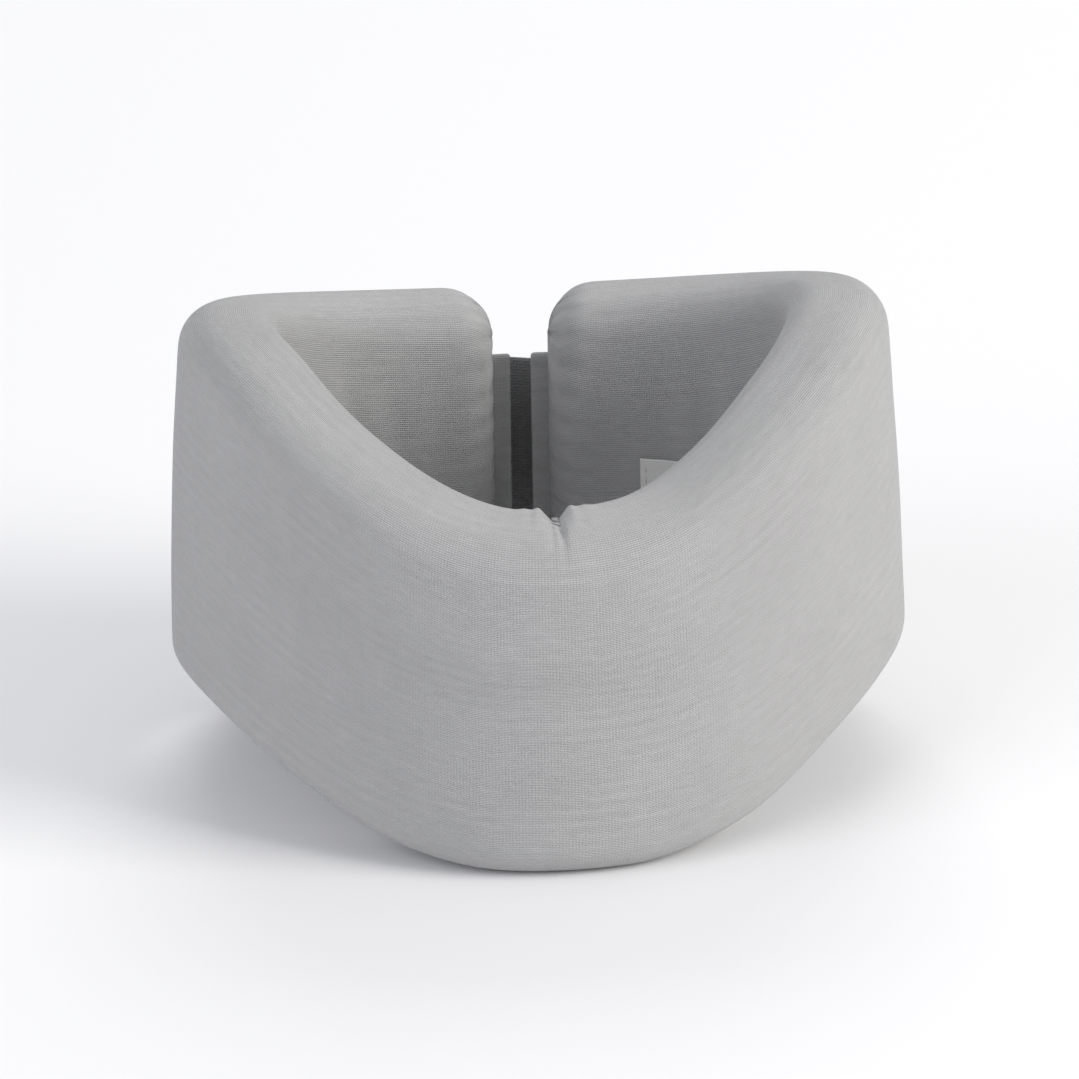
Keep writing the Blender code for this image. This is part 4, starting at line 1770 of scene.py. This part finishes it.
@dataclass(frozen=True)
class Strap:
    """The strap with its hook tape, and the loop tape that it closes on."""

    finishes: Wardrobe
    groove: float = 0.22 * MM
    cockle: float = 0.10 * MM
    hook_base: float = 0.38 * MM
    hook_pitch: float = 1.5 * MM
    hook_rise: float = 0.68 * MM
    hook_lean: float = 0.42 * MM
    hook_radius: float = 0.13 * MM
    loop_base: float = 0.75 * MM
    loop_pitch: float = 1.25 * MM
    loop_jitter: float = 0.35 * MM
    loop_margin: float = 3.0 * MM
    loop_half: float = 0.5 * MM
    loop_radius: float = 0.075 * MM

    def sewn(self, arcs: np.ndarray, across: np.ndarray, through: np.ndarray) -> np.ndarray:
        """Relief of the strap's outer face: grooves under the stitch lines, and a slight cockle.

        Args:
            arcs: distances from the nape.
            across: places up the width.
            through: places through the thickness.

        Returns:
            The movement: bells of the distance from the sewn rectangles, and a product of two sines.
        """
        strap, hook = CLOSURE.strap, CLOSURE.hook
        lines = 0.0
        for start, end, width in ((strap.start, CLOSURE.root, strap.width),
                                  (hook.start, hook.end, hook.width)):
            beyond = np.maximum(arcs - (start - STITCH_INSET), end + STITCH_INSET - arcs)
            beyond = np.maximum(beyond, np.abs(across) - (width / 2.0 - STITCH_INSET))
            lines = lines + bump(beyond, 0.7 * MM)
        face = np.clip(through / (strap.thickness / 2.0), 0.0, 1.0)
        cockle = self.cockle * np.sin(arcs / (3.1 * MM)) * np.sin(across / (4.3 * MM) + 0.6)
        return face * (cockle - self.cockle - self.groove * lines)

    def build_strap(self) -> None:
        """The strap in one piece, sewn to the left end."""
        mesh = CLOSURE.strap.mesh("strap", CLOSURE.strap_out, self.sewn)
        piece = place("strap", mesh, self.finishes.webbing)
        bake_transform(piece)
        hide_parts("strap_anchor", "strap_flap")
        anchor = Tape(CLOSURE.strap.start, CLOSURE.root, CLOSURE.strap.width, CLOSURE.strap.thickness)
        self.thread("strap_anchor", anchor, CLOSURE.strap_out, "left_wing")

    def thread(self, stem: str, tape: Tape, out: Rise, body: str) -> None:
        """Sew a rectangle inside a tape's edges.

        Args:
            stem: the start of the piece's and the node's names.
            tape: the tape.
            out: function of the distance from the nape that gives its inner face's height over the band.
            body: the body that the sewing is on.
        """
        points, normals = tape.box_line(out)
        mesh = Stitching().follow(f"{stem}_thread", [(points - normals * THREAD_SINK, normals)])
        piece = place(f"{stem}_thread", mesh, self.finishes.thread)
        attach(piece, body)
        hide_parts(f"{stem}_stitches")

    def frame_at(self, arcs: np.ndarray, out: np.ndarray, height: np.ndarray) -> tuple[np.ndarray, ...]:
        """Points over the band with their normals and the directions along it."""
        points, normals = on_band(arcs, out, height)
        return points, normals, np.cross(normals, UPRIGHT)

    def build_hooks(self) -> None:
        """The hook tape: a thin moulded base and rows of hooks that lean along it."""
        hook = CLOSURE.hook
        base = Tape(hook.start, hook.end, hook.width, self.hook_base)
        top = hook.thickness - base.thickness
        mesh = base.mesh("hook_base", lambda s: CLOSURE.hook_out(s) + top)
        piece = place("hook_base", mesh, self.finishes.hook)
        arcs, across = scatter(hook, self.hook_pitch, 0.0, 3)
        points, normals, along = self.frame_at(
            arcs, CLOSURE.hook_out(arcs) + top + 0.1 * MM, hook.middle + across)
        t = np.linspace(0.0, 1.0, 8)
        rise = self.hook_rise * np.sin(np.clip(t * 1.25, 0.0, 1.35) * math.pi / 2.0)
        lean = self.hook_lean * t ** 1.8
        row = np.round(across / self.hook_pitch).astype(int)
        facing = np.where(row % 2 == 0, 1.0, -1.0)[:, None, None]
        path = (points[:, None] - normals[:, None] * rise[None, :, None]
                + along[:, None] * lean[None, :, None] * facing)
        radius = np.broadcast_to(self.hook_radius * np.append(1.0 - 0.45 * t[:-1], 0.02), path.shape[:2])
        grids = tube_grid(path, np.broadcast_to(UPRIGHT, path.shape), radius, 6)
        hooks = place("hooks", many_tubes("hooks", grids, 1.0 * MM), self.finishes.hook)
        for part in (piece, hooks):
            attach(part, "closure_tab")
        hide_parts("hook_tape")
        through = CLOSURE.strap.thickness - hook.thickness
        self.thread("hook_tape", hook, lambda s: CLOSURE.strap_out(s) + through, "closure_tab")

    def build_loops(self) -> None:
        """The loop tape: a woven ground and a pile of small loops that lean every way."""
        loop = CLOSURE.loop
        base = Tape(loop.start, loop.end, loop.width, self.loop_base)
        ground = place("loop_ground", base.mesh("loop_ground", CLOSURE.loop_out), self.finishes.loop_base)
        arcs, across = scatter(loop, self.loop_pitch, self.loop_jitter, 5)
        margin = self.loop_margin
        inside = (np.abs(across) < loop.width / 2.0 - margin) & (arcs < loop.start - margin)
        inside = inside & (arcs > loop.end + margin)
        arcs, across = arcs[inside], across[inside]
        points, normals, along = self.frame_at(
            arcs, CLOSURE.gap + base.thickness - 0.08 * MM + 0.0 * arcs, loop.middle + across)
        rng = np.random.default_rng(11)
        yaw = rng.uniform(0.0, math.pi, len(arcs))[:, None]
        over = rng.uniform(-0.5, 0.5, len(arcs))[:, None, None]
        tall = (rng.uniform(0.55, 0.78, len(arcs)) * MM)[:, None, None]
        level = along * np.cos(yaw) + UPRIGHT * np.sin(yaw)
        side = np.cross(normals, level)
        t = np.linspace(0.0, math.pi, 8)[None, :, None]
        arch = np.sin(t) ** 0.8
        path = (points[:, None] + level[:, None] * (-self.loop_half * np.cos(t))
                + (normals[:, None] + side[:, None] * over) * arch * tall)
        radius = np.full(path.shape[:2], self.loop_radius)
        radius[:, [0, -1]] = 0.002 * MM
        grids = tube_grid(path, np.broadcast_to(side[:, None], path.shape), radius, 5)
        pile = place("loop_pile", many_tubes("loop_pile", grids, 1.0 * MM), self.finishes.pile)
        for part in (ground, pile):
            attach(part, "right_wing")
        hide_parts("loop_tape")
        self.thread("loop_tape", base, CLOSURE.loop_out, "right_wing")

    def build(self) -> None:
        """Build the strap and both tapes."""
        self.build_loops()
        self.build_strap()
        self.build_hooks()


@dataclass(frozen=True)
class CareLabel:
    """A blank satin ribbon sewn to the inner face at the left end, lifting a little from it."""

    finishes: Wardrobe
    skin: Skin
    ring: RingPattern
    near: float = 34.0 * MM
    far: float = 56.0 * MM
    low: float = 26.0 * MM
    high: float = 58.0 * MM
    thickness: float = 0.3 * MM
    lift: float = 0.42 * MM
    rows: int = 60
    columns: int = 90
    sewing_inset: float = 1.6 * MM

    def surface(self, arcs: np.ndarray, height: np.ndarray,
                lift: np.ndarray) -> tuple[np.ndarray, np.ndarray]:
        """Points over the sleeve's inner face.

        Args:
            arcs: distances from the nape.
            height: heights over the surface that the collar stands on.
            lift: heights over the sleeve.

        Returns:
            The points and the normals there.
        """
        chin = BAND.half_length() - arcs
        angle = BAND.angle_at(chin)
        radius = BAND.edge_radius
        low, high = BAND.low(angle), BAND.high(angle)
        up = (height - low - radius) / (high - low - 2.0 * radius)
        around = (up - 0.5) * (self.ring.height - 2.0 * radius)
        return self.skin.at(chin, around, lift)

    def build(self) -> None:
        """Build the ribbon and its two rows of stitches."""
        arcs = np.linspace(self.near, self.far, self.rows)[:, None]
        height = np.linspace(self.low, self.high, self.columns)[None, :]
        across = (arcs - self.near) / (self.far - self.near)
        share = (height - self.low) / (self.high - self.low)
        billow = np.sin(math.pi * across) * (0.22 + 0.10 * np.sin(5.0 * share + 0.6)) * MM
        curl = 0.12 * MM * (bump(share, 0.06) + bump(share - 1.0, 0.06))
        lift = self.lift + billow + curl
        outer, normals = self.surface(arcs + 0.0 * height, height + 0.0 * arcs, lift)
        inner = outer - normals * self.thickness
        uvs = np.stack(np.broadcast_arrays(arcs, height), axis=-1)
        sheaf = Sheaf()
        sheaf.add(outer, uvs)
        sheaf.add(inner, uvs, flip=True)
        total = self.rows * self.columns
        index = np.arange(total).reshape(self.rows, self.columns)
        for edge in (index[0], index[:, -1], index[-1, ::-1], index[::-1, 0]):
            sheaf.join(total + edge, edge)
        piece = place("care_label_ribbon", sheaf.mesh("care_label_ribbon"), self.finishes.label)
        inset, steps = self.sewing_inset, 60
        up = np.linspace(self.low + inset, self.high - inset, steps)
        lines = [self.surface(np.full(steps, spot), up, np.full(steps, 0.50 * MM))
                 for spot in (self.near + inset, self.far - inset)]
        mesh = Stitching(length=2.0 * MM, gap=0.7 * MM, radius=0.18 * MM).follow("care_label_thread", lines)
        thread = place("care_label_thread", mesh, self.finishes.pale_thread)
        for part, node, slot in ((piece, "care_label", "label"), (thread, "care_label_stitches", "thread")):
            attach(part, "left_wing")
            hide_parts(node)


# ---------------------------------------------------------------------------------------------------
# Studio
# ---------------------------------------------------------------------------------------------------


@dataclass(frozen=True)
class SoftBox:
    """A square light: its name, place, size, power in watts and colour."""

    name: str
    place: tuple[float, float, float]
    size: float
    power: float
    colour: tuple[float, float, float] = (1.0, 1.0, 1.0)

    def build(self, target: tuple[float, float, float]) -> None:
        """Hang the light so that it faces a point.

        Args:
            target: the point.
        """
        data = bpy.data.lights.new(self.name, "AREA")
        data.size, data.energy, data.color = self.size, self.power, self.colour
        lamp = bpy.data.objects.new(self.name, data)
        lamp.location = self.place
        lamp.rotation_euler = (Vector(target) - Vector(self.place)).to_track_quat("-Z", "Y").to_euler()
        bpy.context.scene.collection.objects.link(lamp)


@dataclass(frozen=True)
class Studio:
    """Camera, lights, floor and surroundings of a soft white studio."""

    distance: float = 3.0
    azimuth: float = math.radians(-4.0)
    elevation: float = math.radians(23.0)
    roll: float = math.radians(1.0)
    lens: float = 427.0
    target: tuple[float, float, float] = (0.0, 0.0, 0.055)
    surroundings: float = 0.55
    floor_half: float = 6.0
    lights: tuple[SoftBox, ...] = (
        SoftBox("key", (2.0, -1.0, 1.2), 1.2, 50.0, (1.0, 0.98, 0.94)),
        SoftBox("fill", (-1.7, -1.3, 1.2), 1.8, 20.0, (0.94, 0.945, 1.0)),
        SoftBox("back", (0.2, 1.9, 1.6), 1.5, 16.0))

    def build(self) -> None:
        """Put up the studio."""
        self.build_camera()
        for light in self.lights:
            light.build(self.target)
        world = bpy.data.worlds.new("studio")
        world.use_nodes = True
        backdrop = world.node_tree.nodes["Background"]
        backdrop.inputs["Color"].default_value = (0.96, 0.97, 1.0, 1.0)
        backdrop.inputs["Strength"].default_value = self.surroundings
        bpy.context.scene.world = world
        self.build_floor()
        bpy.context.scene.view_settings.view_transform = "Standard"

    def build_camera(self) -> None:
        """A long lens at chest height, a little to the collar's right of its middle."""
        level, rise = self.distance * math.cos(self.elevation), self.distance * math.sin(self.elevation)
        where = Vector(self.target) + Vector((
            level * math.sin(self.azimuth), -level * math.cos(self.azimuth), rise))
        data = bpy.data.cameras.new("camera")
        data.lens, data.sensor_width = self.lens, 36.0
        data.clip_start, data.clip_end = 0.1, 30.0
        camera = bpy.data.objects.new("camera", data)
        look = (Vector(self.target) - where).to_track_quat("-Z", "Y").to_matrix()
        camera.location = where
        camera.rotation_euler = (look @ Matrix.Rotation(-self.roll, 3, "Z")).to_euler()
        bpy.context.scene.collection.objects.link(camera)
        bpy.context.scene.camera = camera

    def build_floor(self) -> None:
        """A pale matt floor."""
        half = self.floor_half
        corners = [(-half, -half, 0), (half, -half, 0), (half, half, 0), (-half, half, 0)]
        mesh = bpy.data.meshes.new("floor")
        mesh.from_pydata(corners, [], [(0, 1, 2, 3)])
        material = bpy.data.materials.new("floor")
        material.use_nodes = True
        shader = material.node_tree.nodes["Principled BSDF"]
        shader.inputs["Base Color"].default_value = (0.86, 0.86, 0.87, 1.0)
        shader.inputs["Roughness"].default_value = 0.7
        mesh.materials.append(material)
        floor = bpy.data.objects.new("floor", mesh)
        bpy.context.scene.collection.objects.link(floor)


def main() -> None:
    """Build the collar's looks and the studio."""
    logging.basicConfig(level=logging.INFO, format="%(name)s %(message)s")
    finishes = Wardrobe()
    sleeve = Sleeve(finishes)
    sleeve.build()
    Strap(finishes).build()
    CareLabel(finishes, sleeve.skin, sleeve.ring).build()
    Studio().build()


if __name__ == "__main__":
    main()
